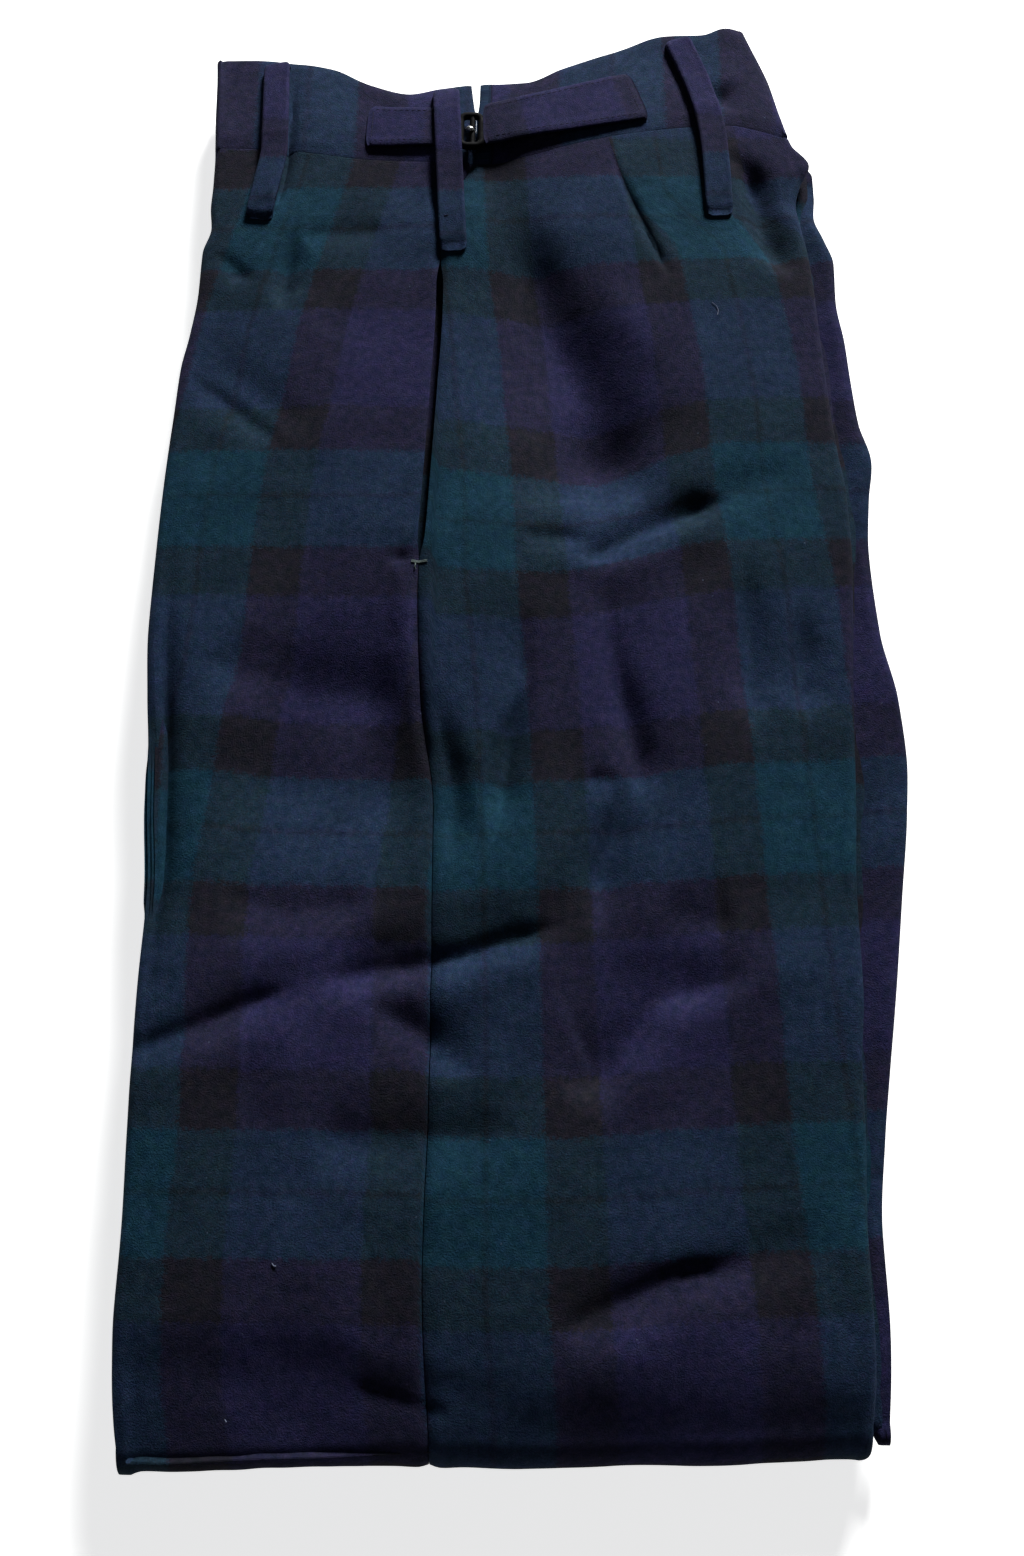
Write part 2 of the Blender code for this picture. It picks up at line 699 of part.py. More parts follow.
def centre_on_floor(pieces):
    """Moves every mesh so that the origin is at the bottom centre of the whole part's box."""
    bpy.context.view_layer.update()
    graph = bpy.context.evaluated_depsgraph_get()
    corners = []
    for piece in pieces:
        shape = piece.evaluated_get(graph).to_mesh()
        corners += [v.co.copy() for v in shape.vertices]
        piece.evaluated_get(graph).to_mesh_clear()
    low = Vector([min(c[i] for c in corners) for i in range(3)])
    high = Vector([max(c[i] for c in corners) for i in range(3)])
    shift = Vector((-(low.x + high.x) / 2, -(low.y + high.y) / 2, -low.z))
    for piece in pieces:
        piece.data.transform(Matrix.Translation(shift))
    print("centred by", [round(v / MM, 3) for v in shift], "size", [round(v / MM, 1) for v in high - low])


centre_on_floor(list(parts.objects))
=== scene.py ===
import math

import bmesh
import bpy
import numpy as np
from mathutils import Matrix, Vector


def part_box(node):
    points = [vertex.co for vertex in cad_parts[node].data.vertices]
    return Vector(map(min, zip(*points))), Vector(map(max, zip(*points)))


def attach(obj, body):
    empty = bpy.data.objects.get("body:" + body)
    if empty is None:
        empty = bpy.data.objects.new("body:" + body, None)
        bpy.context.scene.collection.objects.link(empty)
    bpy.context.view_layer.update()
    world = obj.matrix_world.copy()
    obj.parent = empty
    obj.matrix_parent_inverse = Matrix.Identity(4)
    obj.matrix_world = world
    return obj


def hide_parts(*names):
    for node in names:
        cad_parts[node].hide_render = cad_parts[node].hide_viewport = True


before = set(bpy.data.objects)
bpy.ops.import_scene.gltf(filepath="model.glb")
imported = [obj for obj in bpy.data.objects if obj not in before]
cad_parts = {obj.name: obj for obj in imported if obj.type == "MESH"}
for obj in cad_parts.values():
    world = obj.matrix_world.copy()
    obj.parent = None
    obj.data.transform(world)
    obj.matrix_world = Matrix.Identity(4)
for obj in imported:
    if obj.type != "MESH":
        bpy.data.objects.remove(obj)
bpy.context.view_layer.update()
print("frame loaded")

mm = 0.001

# sizes shared with the solids

cloth = {"thick": 1.4, "seamGap": 0.3, "waistGap": 0.1, "crown": 1.5}
stack = {"height": 24.0, "pitch": 6.0, "pressed": 5.7, "foldR": 12.0, "reach": 3.4}
topZ = stack["height"] - stack["pitch"] / 2
underZ = topZ - stack["pitch"]
halfHigh = stack["pressed"] / 2
sag = {"by": 4.2, "from": 262.0, "over": 60.0}
fold = {"thinner": 0.22, "from": 0.0, "over": 36.0, "step": (3.2, 2.0)}
band = {"thick": 2.0, "reach": 2.8, "proud": 0.5, "slant": 1.6, "tuck": 86.0}

# the front crease, the top leg's back crease and the lower leg's back crease
edgeRows = np.array(
    [(-219, -119.4, 107.4, 116.2), (-205, -121.7, 110.6, 117.2), (-190, -122.9, 112, 118.3),
     (-172, -123.8, 112.4, 119), (-150, -123.5, 112.4, 118.8), (-120, -124.2, 114, 122),
     (-98, -124.6, 114.6, 125.4), (-72, -124.8, 116.9, 129.6), (-40, -124.2, 117.2, 134.3),
     (-10, -126.5, 119.2, 138.6), (10, -127.7, 120.3, 140.2), (32, -129.7, 121.4, 139),
     (58, -131.3, 123.2, 134.6), (90, -130.9, 125, 133.1), (112, -130.3, 124.7, 134.8),
     (128, -129.6, 122.8, 137), (145, -128.6, 121.4, 133.3), (165, -127.5, 120.2, 131.6),
     (180, -125.1, 119.4, 130.7), (200, -123, 118.5, 128.5), (217, -122.7, 117.2, 128.9),
     (229, -119.9, 115.4, 125.6), (240, -120.8, 113.9, 122.4), (250, -120.5, 116.2, 123.2),
     (260, -120.5, 120.5, 123.2), (270, -121, 114, 115.6), (284, -122, 110.6, 111.8),
     (304, -123.1, 106.9, 107.9), (331, -125.3, 98, 99)]
)
edgeColumn = {"front": 1, "back": 2, "under": 3}
# the waist's top edge, the waistband seam and the fold, across the width
endRows = np.array(
    [(-125, 313.2, 267, -222.7), (-119, 315.3, 266.8, -222.7), (-108, 315, 266.5, -222.8),
     (-90, 311.9, 264.8, -222), (-75, 308.7, 262.4, -221.4), (-58, 299.4, 260, -221),
     (-42, 294.4, 259.2, -220.2), (-30, 297.2, 258.6, -219.6), (-15, 299.3, 258.4, -219.2),
     (7, 301.4, 261.5, -219.8), (20, 308.5, 266, -219.8), (44, 319.1, 272.6, -219.2),
     (64, 326.8, 276.3, -218.8), (80, 327.6, 278, -218), (90, 331.2, 278.4, -217.6),
     (98, 329.4, 276.6, -217.2), (109, 317.4, 273, -216.8), (122, 300, 268, -216.4)]
)
endColumn = {"top": 1, "seam": 2, "fold": 3}
seamRows = np.array(
    [(-221, -24.8), (-160, -27.9), (-95, -26.8), (-10, -27.3), (30, -32.4), (72, -34.1), (104, -32.5),
     (152, -30), (196, -28.2), (215, -28.2), (240, -24), (262, -15.2), (283, -14.4), (300, -14.9)]
)
slitRows = np.array([(262, 0.02), (281, 0.02), (285, 0.7), (291, 1.3), (299, 1.8)])
pocket = {"low": 82, "high": 214, "ease": 12, "gap": 2.3}
pocketLips = {-1: 0.7, 1: -0.5}
# the largest folds, as in the solids: both ends, half width and depth
bigFolds = (
    (-122, 172, -84, 143, 7, 1.3), (-6, 250, 11, 208, 10, 1.9), (11, 208, 40, 126, 12, 1.6),
    (20, 93, 96, 117, 7, 1.5), (2, 50, -1, -4, 8, 1.4), (35, 67, 48, 3, 9, 1.5), (-120, -88, -44, -60, 8, 2),
    (-44, -60, 6, -48, 8, 1.6), (25, -92, 33, -42, 9, 1.5), (36, -79, 104, -64, 8, -1.3),
    (27, -171, 94, -151, 8, 1.8), (-51, -187, -10, -200, 7, 1), (100, 248, 111, 214, 6.5, 3.2),
)

# the creases: a path, the half widths on its left and right, the depth (a ridge's is below nothing),
# and the swell on its right
creases = (
    (((-16, 240), (-4, 222), (4, 206), (12, 186), (21, 166), (30, 147), (38, 131), (46, 114),
      (54, 96)), 21, 32, 11.4, 0),
    (((24, 152), (28, 135), (31.5, 118), (33.5, 98)), 10, 16, 5.4, 0.2),
    (((32, 206), (44, 186), (56, 164)), 9, 9, -1, 0),
    (((3, 93), (16, 93), (30, 91)), 2.4, 4.5, 1.2, 0.6),
    (((22, 84), (33, 87.6), (45, 94), (57, 100), (68.5, 104.6), (82, 108)), 5.6, 5, 4.8, 1),
    (((6, 67), (4, 51), (5, 33)), 2, 4, 1, 0.4),
    (((8.6, 38), (3.6, 27), (0, 17), (-2.4, 5), (-4, -8), (-7, -24)), 4.6, 4.5, 6, 0.6),
    (((34, 74), (36, 48), (39.5, 28), (44, 7), (45, -8)), 6, 6, 5.2, 0.6),
    (((46, 8), (39.5, -5.5), (35, -19.5), (31, -35), (28, -56)), 5.4, 5, 6, 0.4),
    (((24.9, 1.4), (32.1, -0.4), (40.1, 0.4)), 3, 4, 1.6, 0.3),
    (((-28, 36), (-24, 16), (-20.6, 0), (-20, -16), (-21.5, -34)), 6, 5, 4, 0.4),
    (((-126.6, 86), (-124.6, 60), (-124, 34), (-123, 10), (-122, -20), (-122, -55),
      (-122, -88)), 5.4, 3.4, 6.2, 0.3),
    (((-46, 84), (-36, 83)), 3.6, 3, 1.8, 0.3),
    (((-112, 46), (-84, 38), (-60, 34), (-40, 32)), 17, 14, 4, 0),
    (((-106, 10), (-86, 4), (-61, 0), (-38, 0), (-12, 4)), 46, 34, 9.6, 0),
    (((-100, -41), (-75, -46), (-48, -43)), 8, 8, 2.4, 0.3),
    (((-138.9, -96.5), (-129.1, -93.6), (-118, -89.8), (-105.3, -85), (-93.2, -79.8), (-82.3, -75.5),
      (-69.9, -71.6)), 3.4, 5, 2.3, 1),
    (((-64.1, -70.3), (-52.9, -68), (-40.4, -66), (-27.2, -64), (-14, -60.7), (-4, -57), (6.7, -54.3),
      (17.7, -50.3)), 4.6, 5, 4.4, 1),
    (((-49, -76), (-32, -86), (-12, -101)), 9, 6, 4.2, 0.4),
    (((-86, -97), (-59, -101), (-34, -107)), 18, 20, -1.4, 0),
    (((-65, -118), (-47, -121), (-26, -120), (3, -118)), 8, 8, 2.2, 0.5),
    (((14.2, -102.5), (27.2, -101.9), (37.8, -90.4), (46.7, -77.2), (62, -72.3), (84.7, -67)), 15, 6, 6.4, 0.5),
    (((50, -46), (64, -50), (76, -50)), 10, 8, 2.4, 0.2),
    (((11.7, -177.4), (19.4, -175.1), (27.2, -172), (39.7, -166.5), (47.5, -162.7), (55.3, -161.6),
      (64.7, -161), (77.9, -158.7)), 3.4, 6, 1.6, 1),
    (((49.8, -161.3), (60.1, -159), (74.9, -156)), 3, 4, 0.9, 0.3),
    (((-51, -192), (-41, -195), (-27, -199), (-17, -202)), 2, 4, 1.1, 0.5),
    (((-125, 162), (-106, 147), (-85, 129)), 3.4, 5, 1.8, 0.5),
    (((-118, 217), (-112, 212), (-107, 207), (-101, 203)), 3.6, 4, 1.8, 0.4),
    (((-85.5, 230), (-87.3, 217), (-89, 203), (-90, 187)), 5, 4, 3.4, 0.3),
    (((-84, 224), (-66, 225), (-50, 226)), 5, 6, 1.4, 0.2),
    (((82.6, 265.5), (93.2, 259.1), (98.2, 247.5), (100.1, 230.7), (104.7, 215.6), (111.2, 205.4)), 7, 6, 5.6, 0),
    (((80, 302), (86, 294), (93, 286)), 8, 6, 3.8, 0.1),
    (((121, 257), (115, 252), (111, 242), (113, 232)), 1.4, 2.4, 1.8, 0.3),
    (((39, 268.5), (43.4, 253), (50.4, 234.5), (58, 215), (63, 203)), 1.8, 1.7, 2.3, 0.2),
    (((-91.2, 312), (-90.2, 294), (-90.6, 280), (-90.9, 267), (-92.8, 247), (-95, 232)), 2.4, 1.6, 3.6, 0),
    (((-32.2, 262), (-31.6, 246), (-30.4, 232)), 1.8, 1.4, 1.4, 0),
    (((-21, 266), (-10, 265), (5, 267.5)), 5, 5, 2.4, 0),
    (((86, 84), (85, 56), (85.5, 18)), 9, 7, 4.4, 0.2),
    (((104, 70), (104, 46), (102, 20)), 7, 5, 4.2, 0.2),
    (((60, 60), (90, 20), (96, -10)), 9, 10, 0.6, 0.2),
    (((-100, -140), (-60, -132)), 8, 9, 0.4, 0.3),
)

# degrees turned at each row of points: round the fold, a pressed crease and the waistband's crease
foldTurns = np.append(np.linspace(5, 170, 26), 178)
creaseTurns = np.append(-60, np.linspace(-50, 80, 12))
bandTurns = np.linspace(75, -58, 11)
step = 1.5  # between neighbouring points on the cloth


def smoothRows(rows, column, at):
    # a smooth curve through the rows that never swings past them
    x, v = rows[:, 0], rows[:, column]
    gap = np.diff(x)
    rise = np.diff(v) / gap
    slope = np.concatenate([rise[:1], np.zeros(len(x) - 2), rise[-1:]])
    alike = rise[:-1] * rise[1:] > 0
    slope[1:-1][alike] = 2 * rise[:-1][alike] * rise[1:][alike] / (rise[:-1] + rise[1:])[alike]
    at = np.clip(np.asarray(at, float), x[0], x[-1])
    k = np.clip(np.searchsorted(x, at) - 1, 0, len(x) - 2)
    t = (at - x[k]) / gap[k]
    return (
        v[k] * (1 + 2 * t) * (1 - t) ** 2
        + slope[k] * gap[k] * t * (1 - t) ** 2
        + v[k + 1] * t * t * (3 - 2 * t)
        - slope[k + 1] * gap[k] * t * t * (1 - t)
    )


def edge(name, y):  # how far across a crease lies
    return smoothRows(edgeRows, edgeColumn[name], y)


def end(name, x):  # how far along the waist's top edge, the waistband seam or the fold lies
    return smoothRows(endRows, endColumn[name], x)


def sideSeam(y):
    return smoothRows(seamRows, 1, y)


def ease(t):
    # from 0 to 1, level at both ends
    t = np.clip(t, 0, 1)
    return t * t * (3 - 2 * t)


def pocketOpen(y):
    # 1 along the pocket's opening, 0 past its ends
    return ease((y - pocket["low"]) / pocket["ease"]) * ease((pocket["high"] - y) / pocket["ease"])


def sunk(z, y, x=0.0):
    # the waist end sinks past the lower hems, and the whole stack thins towards the fold
    thin = fold["thinner"] * (1 - ease((y - end("fold", x) - fold["from"]) / fold["over"]))
    z = z * (1 - thin)
    return z - sag["by"] * ease((y - sag["from"]) / sag["over"]) * np.clip(z / (stack["height"] / 2), 0, 1)


def valueNoise(x, y, size, seed):
    # random heights on a square lattice, joined by smooth steps
    lattice = np.random.default_rng(seed).uniform(-1, 1, (97, 97))
    x, y = x / size + 40, y / size + 40
    i, j = np.floor(x).astype(int), np.floor(y).astype(int)
    s, t = ease(x - i), ease(y - j)
    i, j = i % 96, j % 96
    low = lattice[i, j] * (1 - s) + lattice[i + 1, j] * s
    high = lattice[i, j + 1] * (1 - s) + lattice[i + 1, j + 1] * s
    return low * (1 - t) + high * t


def bigFoldHeight(x, y):
    # each fold: a bell across its line and past its ends, taken off the height
    height = np.zeros(np.broadcast(x, y).shape)
    for x0, y0, x1, y1, half, depth in bigFolds:
        dx, dy = x1 - x0, y1 - y0
        length = math.hypot(dx, dy)
        run = ((x - x0) * dx + (y - y0) * dy) / length
        past = np.maximum(0, np.maximum(-run, run - length))
        off = ((y - y0) * dx - (x - x0) * dy) / length
        height -= depth * np.exp(-((off / half) ** 2) - (past / (1.4 * half)) ** 2)
    return height


def smoothPath(points, parts=6):
    # a curve through the points, each stretch cut into equal parts
    p = np.array(points, float)
    p = np.concatenate([[2 * p[0] - p[1]], p, [2 * p[-1] - p[-2]]])
    t = np.linspace(0, 1, parts, endpoint=False)[:, None]
    runs = []
    for a, b, c, d in zip(p, p[1:], p[2:], p[3:]):
        runs.append(0.5 * (2 * b + (c - a) * t + (2 * a - 5 * b + 4 * c - d) * t**2 + (3 * b - a - 3 * c + d) * t**3))
    return np.concatenate(runs + [p[-2:-1]])


def creaseHeight(x, y):
    # each crease: a trough with a steep and a gentle side, and a low swell beside the gentle one
    height = np.zeros(x.shape)
    for path, steep, gentle, depth, swell in creases:
        line = smoothPath(path)
        span = 6 * gentle + 8
        near = (x > line[:, 0].min() - span) & (x < line[:, 0].max() + span)
        near &= (y > line[:, 1].min() - span) & (y < line[:, 1].max() + span)
        if not near.any():
            continue
        px, py = x[near], y[near]
        best = np.full(px.shape, 1e9)
        off, share = np.zeros(px.shape), np.zeros(px.shape)
        count = len(line) - 1
        for k in range(count):
            ax, ay = line[k]
            dx, dy = line[k + 1] - line[k]
            run = np.clip(((px - ax) * dx + (py - ay) * dy) / (dx * dx + dy * dy), 0, 1)
            far = np.hypot(px - ax - run * dx, py - ay - run * dy)
            closer = far < best
            side = np.sign((py - ay) * dx - (px - ax) * dy)
            best = np.where(closer, far, best)
            off = np.where(closer, far * side, off)
            share = np.where(closer, (k + run) / count, share)
        # the end nearer the waist comes in more slowly, and a deep trough more slowly than a shallow one
        reach = math.hypot(*(line[-1] - line[0]))
        upright = (line[0, 1] - line[-1, 1]) / reach
        slow = 3.4 * depth / reach
        fade = ease(share / max(0.2 + 0.42 * max(0, upright), slow) + 0.08)
        fade *= ease((1 - share) / max(0.2 + 0.12 * abs(upright), slow) + 0.08)
        width = np.where(off > 0, steep, gentle) * (0.45 + 0.55 * fade)
        trough = np.exp(-np.abs(off / width) ** 1.7)
        bulge = np.exp(-(((off + 2.4 * gentle) / (1.5 * gentle)) ** 2))
        height[near] += fade * (swell * bulge - depth * trough)
    return height


def detailHeight(x, y):
    # the finer relief: creases, slow waves in the cloth and small puckers along the side seam
    fromSeam = x - sideSeam(y)
    waves = 0.8 * valueNoise(x, y, 38, 3) + 0.42 * valueNoise(x * 0.8 + y * 0.3, y, 19, 5)
    waves += 0.1 * valueNoise(x, y * 1.3, 7, 8)
    pucker = 0.2 * valueNoise(x * 0.2, y, 5.5, 11) * np.exp(-((fromSeam / 6) ** 2))
    pressed = 0.25 * np.exp(-((np.abs(fromSeam) - 5) / 4) ** 2)
    deeper = 1 + 1.1 * ease((80 - y) / 14) * ease((y - 2) / 14)
    ditch = -0.75 * deeper * np.exp(-((fromSeam / 1.7) ** 2)) * (1 - 0.7 * pocketOpen(y))
    # the step down towards the fold, further from it on the front panel
    drop = np.interp(x, (-60, -20), fold["step"]) * ease((np.interp(x, (-60, -20), (-172, -194)) - y) / 22)
    return creaseHeight(x, y) + waves + pucker + pressed + ditch - drop


def topHeight(x, y):
    # the low crown of the top leg with its largest folds, level at its creases
    front, back = edge("front", y), edge("back", y)
    across = np.clip((x - front - stack["reach"]) / (back - front - 2 * stack["reach"]), 0, 1)
    fromFold = y - end("fold", x) - stack["foldR"]
    fade = ease(across * 9) * ease((1 - across) * 9) * ease(fromFold / 16)
    crown = cloth["crown"] * np.sin(math.pi * across) ** 0.7 * ease(fromFold / 40)
    return stack["height"] - (stack["pitch"] - stack["pressed"]) / 2 + crown + bigFoldHeight(x, y) * fade


def fineHeight(x, y):
    # the same with the finer relief, which fades close to the creases
    front, back = edge("front", y), edge("back", y)
    fade = ease((x - front + 2) / 9) * ease((back + 2 - x) / 9)
    return topHeight(x, y) + detailHeight(x, y) * (0.25 + 0.75 * fade)


def skinHeight(x, y):
    # the height of the outermost cloth: the waistband stands a little proud
    return fineHeight(x, y) + ease((y - end("seam", x)) / 6) * band["proud"]


def rowShares(count, bias=1.15):
    # shares from 0 to 1 that crowd a little towards 1
    return 1 - (1 - np.linspace(0, 1, count)) ** bias


# the tartan's repeat in mm of cloth: black 17.7, blue 42, black 17.7, and green 37.8 with a black line
repeat = 115.2
greenMiddle = 96.25
blueMiddle = 38.7
# the green stripes' places: the front panel's right edge, and on the back panel the left one's right edge
# and the left edge of the right one
frontStripe = np.array(
    [(-209, -104.9), (-190, -107.4), (-150, -107.9), (-116, -106.5), (-40, -108), (-4, -104.0), (23, -101.4),
     (49, -96.6), (94, -94.2), (131, -90.2), (154, -85.8), (181, -82), (251, -65), (262, -62.4)]
)
backStripes = np.array(
    [(-202, 14.2, 95.6), (-162, 11.8, 94.0), (-125, 11.2, 90.5), (-95, 10.7, 89.0), (-46, 9.4, 86.4), (-3, 7.8, 84.7),
     (38, 5.7, 82.2), (72, 2.6, 80.3), (119, 0.4, 75.4), (148, -2.3, 73.8), (178, -4.6, 71.2), (206, -8.2, 67.0),
     (280, -12.0, 58.0)]
)
# the dart's line, carried on down the back panel as a plain column of the grid
dartRows = np.array([(-222, 62), (150, 61), (215, 58.7), (234.5, 51.3), (253, 44.2), (268.5, 39.7), (282, 36.5)])
dart = {"point": 215, "intake": 20, "over": 35, "share": 0.42}
# the middles of the green bands across the cloth, from the waist down
bandRows = np.array(
    [(-130, 227, 109.5, -15.5, -136), (-70, 227, 109.5, -17.5, -136.4), (-29, 227.5, 108.6, -18.8, -137),
     (-28, 231, 99, -20, -139), (2, 231.5, 97, -20, -139), (20, 232, 96.8, -19.2, -139),
     (40, 232.6, 101.8, -17.6, -137.6), (61, 233, 107.5, -16.4, -136), (80, 233.6, 111.8, -14.5, -134.8),
     (120, 234, 112.8, -13, -133.5)]
)


def alongThreads(x, y):
    # thread places along the leg: one repeat from each green band's middle to the next
    b = [np.interp(x, bandRows[:, 0], bandRows[:, k]) for k in (1, 2, 3, 4)]
    v = np.where(y > b[0], 3 + (y - b[0]) / 121, (y - b[3]) / 121)
    for k in range(3):
        inside = (y <= b[k]) & (y > b[k + 1])
        v = np.where(inside, 3 - k - (b[k] - y) / (b[k] - b[k + 1]), v)
    return greenMiddle + repeat * v


def frontThreads(x, y):
    # thread places across the front panel, counted from its stripe and a little stretched
    return (x - smoothRows(frontStripe, 1, y)) / 1.025


def backThreads(x, y):
    # thread places across the back panel, between its two stripes, with a jump where the dart takes cloth in
    left, right = smoothRows(backStripes, 1, y), smoothRows(backStripes, 2, y)
    taken = dart["intake"] * ease((y - dart["point"]) / dart["over"])
    return 77.4 * (x - left) / (right - left) + taken * (x > smoothRows(dartRows, 1, y))


def linear(hexColour):
    # a paint chip's hex colour as the linear values that the shader takes
    parts = [int(hexColour[k : k + 2], 16) / 255 for k in (1, 3, 5)]
    return tuple(c / 12.92 if c <= 0.04045 else ((c + 0.055) / 1.055) ** 2.4 for c in parts) + (1.0,)


def add(tree, kind, inputs=(), **settings):
    # one node with its settings; an input is a number, a socket, or a node for its first output
    node = tree.nodes.new("ShaderNode" + kind)
    for name, value in settings.items():
        setattr(node, name, value)
    for key, value in dict(inputs).items():
        if isinstance(value, bpy.types.Node):
            value = value.outputs[0]
        if isinstance(value, bpy.types.NodeSocket):
            tree.links.new(value, node.inputs[key])
        else:
            node.inputs[key].default_value = value
    return node


def newMaterial(name, values):
    # a Principled shader with its steady values on its own sockets
    material = bpy.data.materials.new(name)
    material.use_nodes = True
    shader = material.node_tree.nodes["Principled BSDF"]
    for socket, value in values.items():
        shader.inputs[socket].default_value = value
    return material, material.node_tree, shader


wool = {
    "green": "#163140",
    "blue": "#242440",
    "black": "#1d1d25",
    "line": "#14262f",
    "lint": "#5d6b80",
    "bloom": "#9db4d0",
    "lineHalf": 0.9,  # mm, as the softening of the stripes' edges and the wale
    "soft": 0.6,
    "wale": 2.0,
}


def stripes(tree, share):
    # the sett as stripes over one repeat, with edges that the milling has softened
    ramp = add(tree, "ValToRGB", {0: share})
    changes = [
        (17.7, "black", "blue"),
        (59.7, "blue", "black"),
        (77.4, "black", "green"),
        (greenMiddle - wool["lineHalf"], "green", "line"),
        (greenMiddle + wool["lineHalf"], "line", "green"),
        (repeat - wool["soft"], "green", "black"),
    ]
    stops = [(at + side * wool["soft"], pair[side > 0]) for at, *pair in changes for side in (-1, 1)]
    points = ramp.color_ramp.elements
    while len(points) < len(stops):
        points.new(1.0)
    for point, (at, colour) in zip(points, stops):
        point.position = at / repeat
        point.color = linear(wool[colour])
    return ramp


def shoved(tree, threads, places, scale, detail, by):
    # places moved to and fro by a noise colour less its middle
    noise = add(tree, "TexNoise", {"Vector": threads, "Scale": scale, "Detail": detail})
    noise = add(tree, "VectorMath", {0: noise.outputs["Color"], 1: (0.5, 0.5, 0.5)}, operation="SUBTRACT")
    noise = add(tree, "VectorMath", {0: noise, "Scale": by}, operation="SCALE")
    return add(tree, "VectorMath", {0: places, 1: noise}, operation="ADD")


def woolMaterial():
    # milled wool twill: slanting wales where the two thread systems take turns, a soft nap and a dull bloom
    material, tree, shader = newMaterial("milledWoolTartan", {
        "Roughness": 0.88, "Specular IOR Level": 0.03,
        "Sheen Weight": 0.006, "Sheen Roughness": 0.5, "Sheen Tint": linear(wool["bloom"]),
    })
    threads = add(tree, "UVMap", uv_map="threads")
    # threads wander a little, and milling frays the stripes' edges
    moved = shoved(tree, threads, threads, 0.16, 2.0, 2.4)
    moved = shoved(tree, threads, moved, 1.1, 1.0, 4.5)
    share = add(tree, "VectorMath", {0: moved, "Scale": 1 / repeat}, operation="SCALE")
    share = add(tree, "SeparateXYZ", {0: add(tree, "VectorMath", {0: share}, operation="FRACTION")}).outputs
    warp, weft = stripes(tree, share[0]), stripes(tree, share[1])
    # the wale: up and down again over its width as warp and weft places add up, drawn coarser than life to show
    slant = add(tree, "VectorMath", {0: moved, 1: (1, 1, 0)}, operation="DOT_PRODUCT").outputs["Value"]
    wale = add(tree, "Math", {0: slant, 1: wool["wale"] / 2}, operation="PINGPONG")
    turn = add(tree, "MapRange", {0: wale, 1: 0.2, 2: 0.8, 3: 0.62, 4: 0.38})
    both = add(tree, "Mix", {0: turn, 6: weft, 7: warp}, data_type="RGBA").outputs[2]
    # the nap: fine fibres, tufts a few millimetres wide and broad cloudy changes, light and dark
    light, noises = 1.0, []
    for scale, detail, rough, low, high in (
        (1.7, 3.0, 0.7, 0.62, 1.42),
        (0.06, 2.0, 0.5, 0.88, 1.14),
        (0.34, 3.0, 0.65, 0.74, 1.28),
    ):
        noises.append(add(tree, "TexNoise", {"Vector": threads, "Scale": scale, "Detail": detail, "Roughness": rough}))
        shade = add(tree, "MapRange", {0: noises[-1], 1: 0.3, 2: 0.7, 3: low, 4: high})
        light = add(tree, "Math", {0: light, 1: shade}, operation="MULTIPLY")
    fibre, tufts = noises[0], noises[-1]
    napped = add(tree, "VectorMath", {0: both, "Scale": light}, operation="SCALE")
    # neighbouring tufts also lean a little to one hue or another
    lean = {0: tufts.outputs["Color"], 1: (0.9, 0.5, 0.6), 2: (0.55, 0.75, 0.7)}
    lean = add(tree, "VectorMath", lean, operation="MULTIPLY_ADD")
    napped = add(tree, "VectorMath", {0: napped, 1: lean}, operation="MULTIPLY")
    # a few pale fibres caught in the nap
    specks = add(tree, "TexVoronoi", {"Vector": threads, "Scale": 0.11}, feature="F1")
    caught = add(tree, "MapRange", {0: specks.outputs["Distance"], 1: 0.02, 2: 0.04, 3: 0.3, 4: 0.0})
    colour = add(tree, "Mix", {0: caught, 6: napped, 7: linear(wool["lint"])}, data_type="RGBA").outputs[2]
    tree.links.new(colour, shader.inputs["Base Color"])
    raised = add(tree, "Math", {0: fibre, 1: 1.5}, operation="MULTIPLY")
    relief = add(tree, "Math", {0: wale, 1: -0.3, 2: raised}, operation="MULTIPLY_ADD")
    bump = add(tree, "Bump", {"Height": relief, "Strength": 0.8, "Distance": 0.00028})
    tree.links.new(bump.outputs[0], shader.inputs["Normal"])
    return material


def mottled(tree, shader, hexColour, scale, detail, spread, light):
    # a colour made lighter and darker by a noise on the piece's own coordinates, in metres
    where = add(tree, "TexCoord").outputs["Object"]
    noise = add(tree, "TexNoise", {"Vector": where, "Scale": scale, "Detail": detail})
    shade = add(tree, "MapRange", {0: noise, 1: spread[0], 2: spread[1], 3: light[0], 4: light[1]})
    colour = add(tree, "VectorMath", {0: linear(hexColour)[:3], "Scale": shade}, operation="SCALE")
    tree.links.new(colour.outputs[0], shader.inputs["Base Color"])
    return noise


def threadMaterial(name, hexColour):
    # twisted sewing thread: dull, with a fine light and dark along it
    material, tree, shader = newMaterial(name, {"Roughness": 0.8, "Specular IOR Level": 0.1})
    mottled(tree, shader, hexColour, 1800.0, 2.0, (0.0, 1.0), (0.6, 1.4))
    return material


def metalMaterial(name, hexColour, metallic, roughness, worn):
    # metal with rubbed places: smoother and rougher patches, a few millimetres wide
    level = 0.5 if metallic else 0.04
    material, tree, shader = newMaterial(name, {"Metallic": metallic, "Specular IOR Level": level})
    patches = mottled(tree, shader, hexColour, 420.0, 4.0, (0.3, 0.7), (1.15, 0.75))
    rough = add(tree, "MapRange", {0: patches, 1: 0.3, 2: 0.7, 3: roughness, 4: roughness + worn})
    tree.links.new(rough.outputs[0], shader.inputs["Roughness"])
    return material


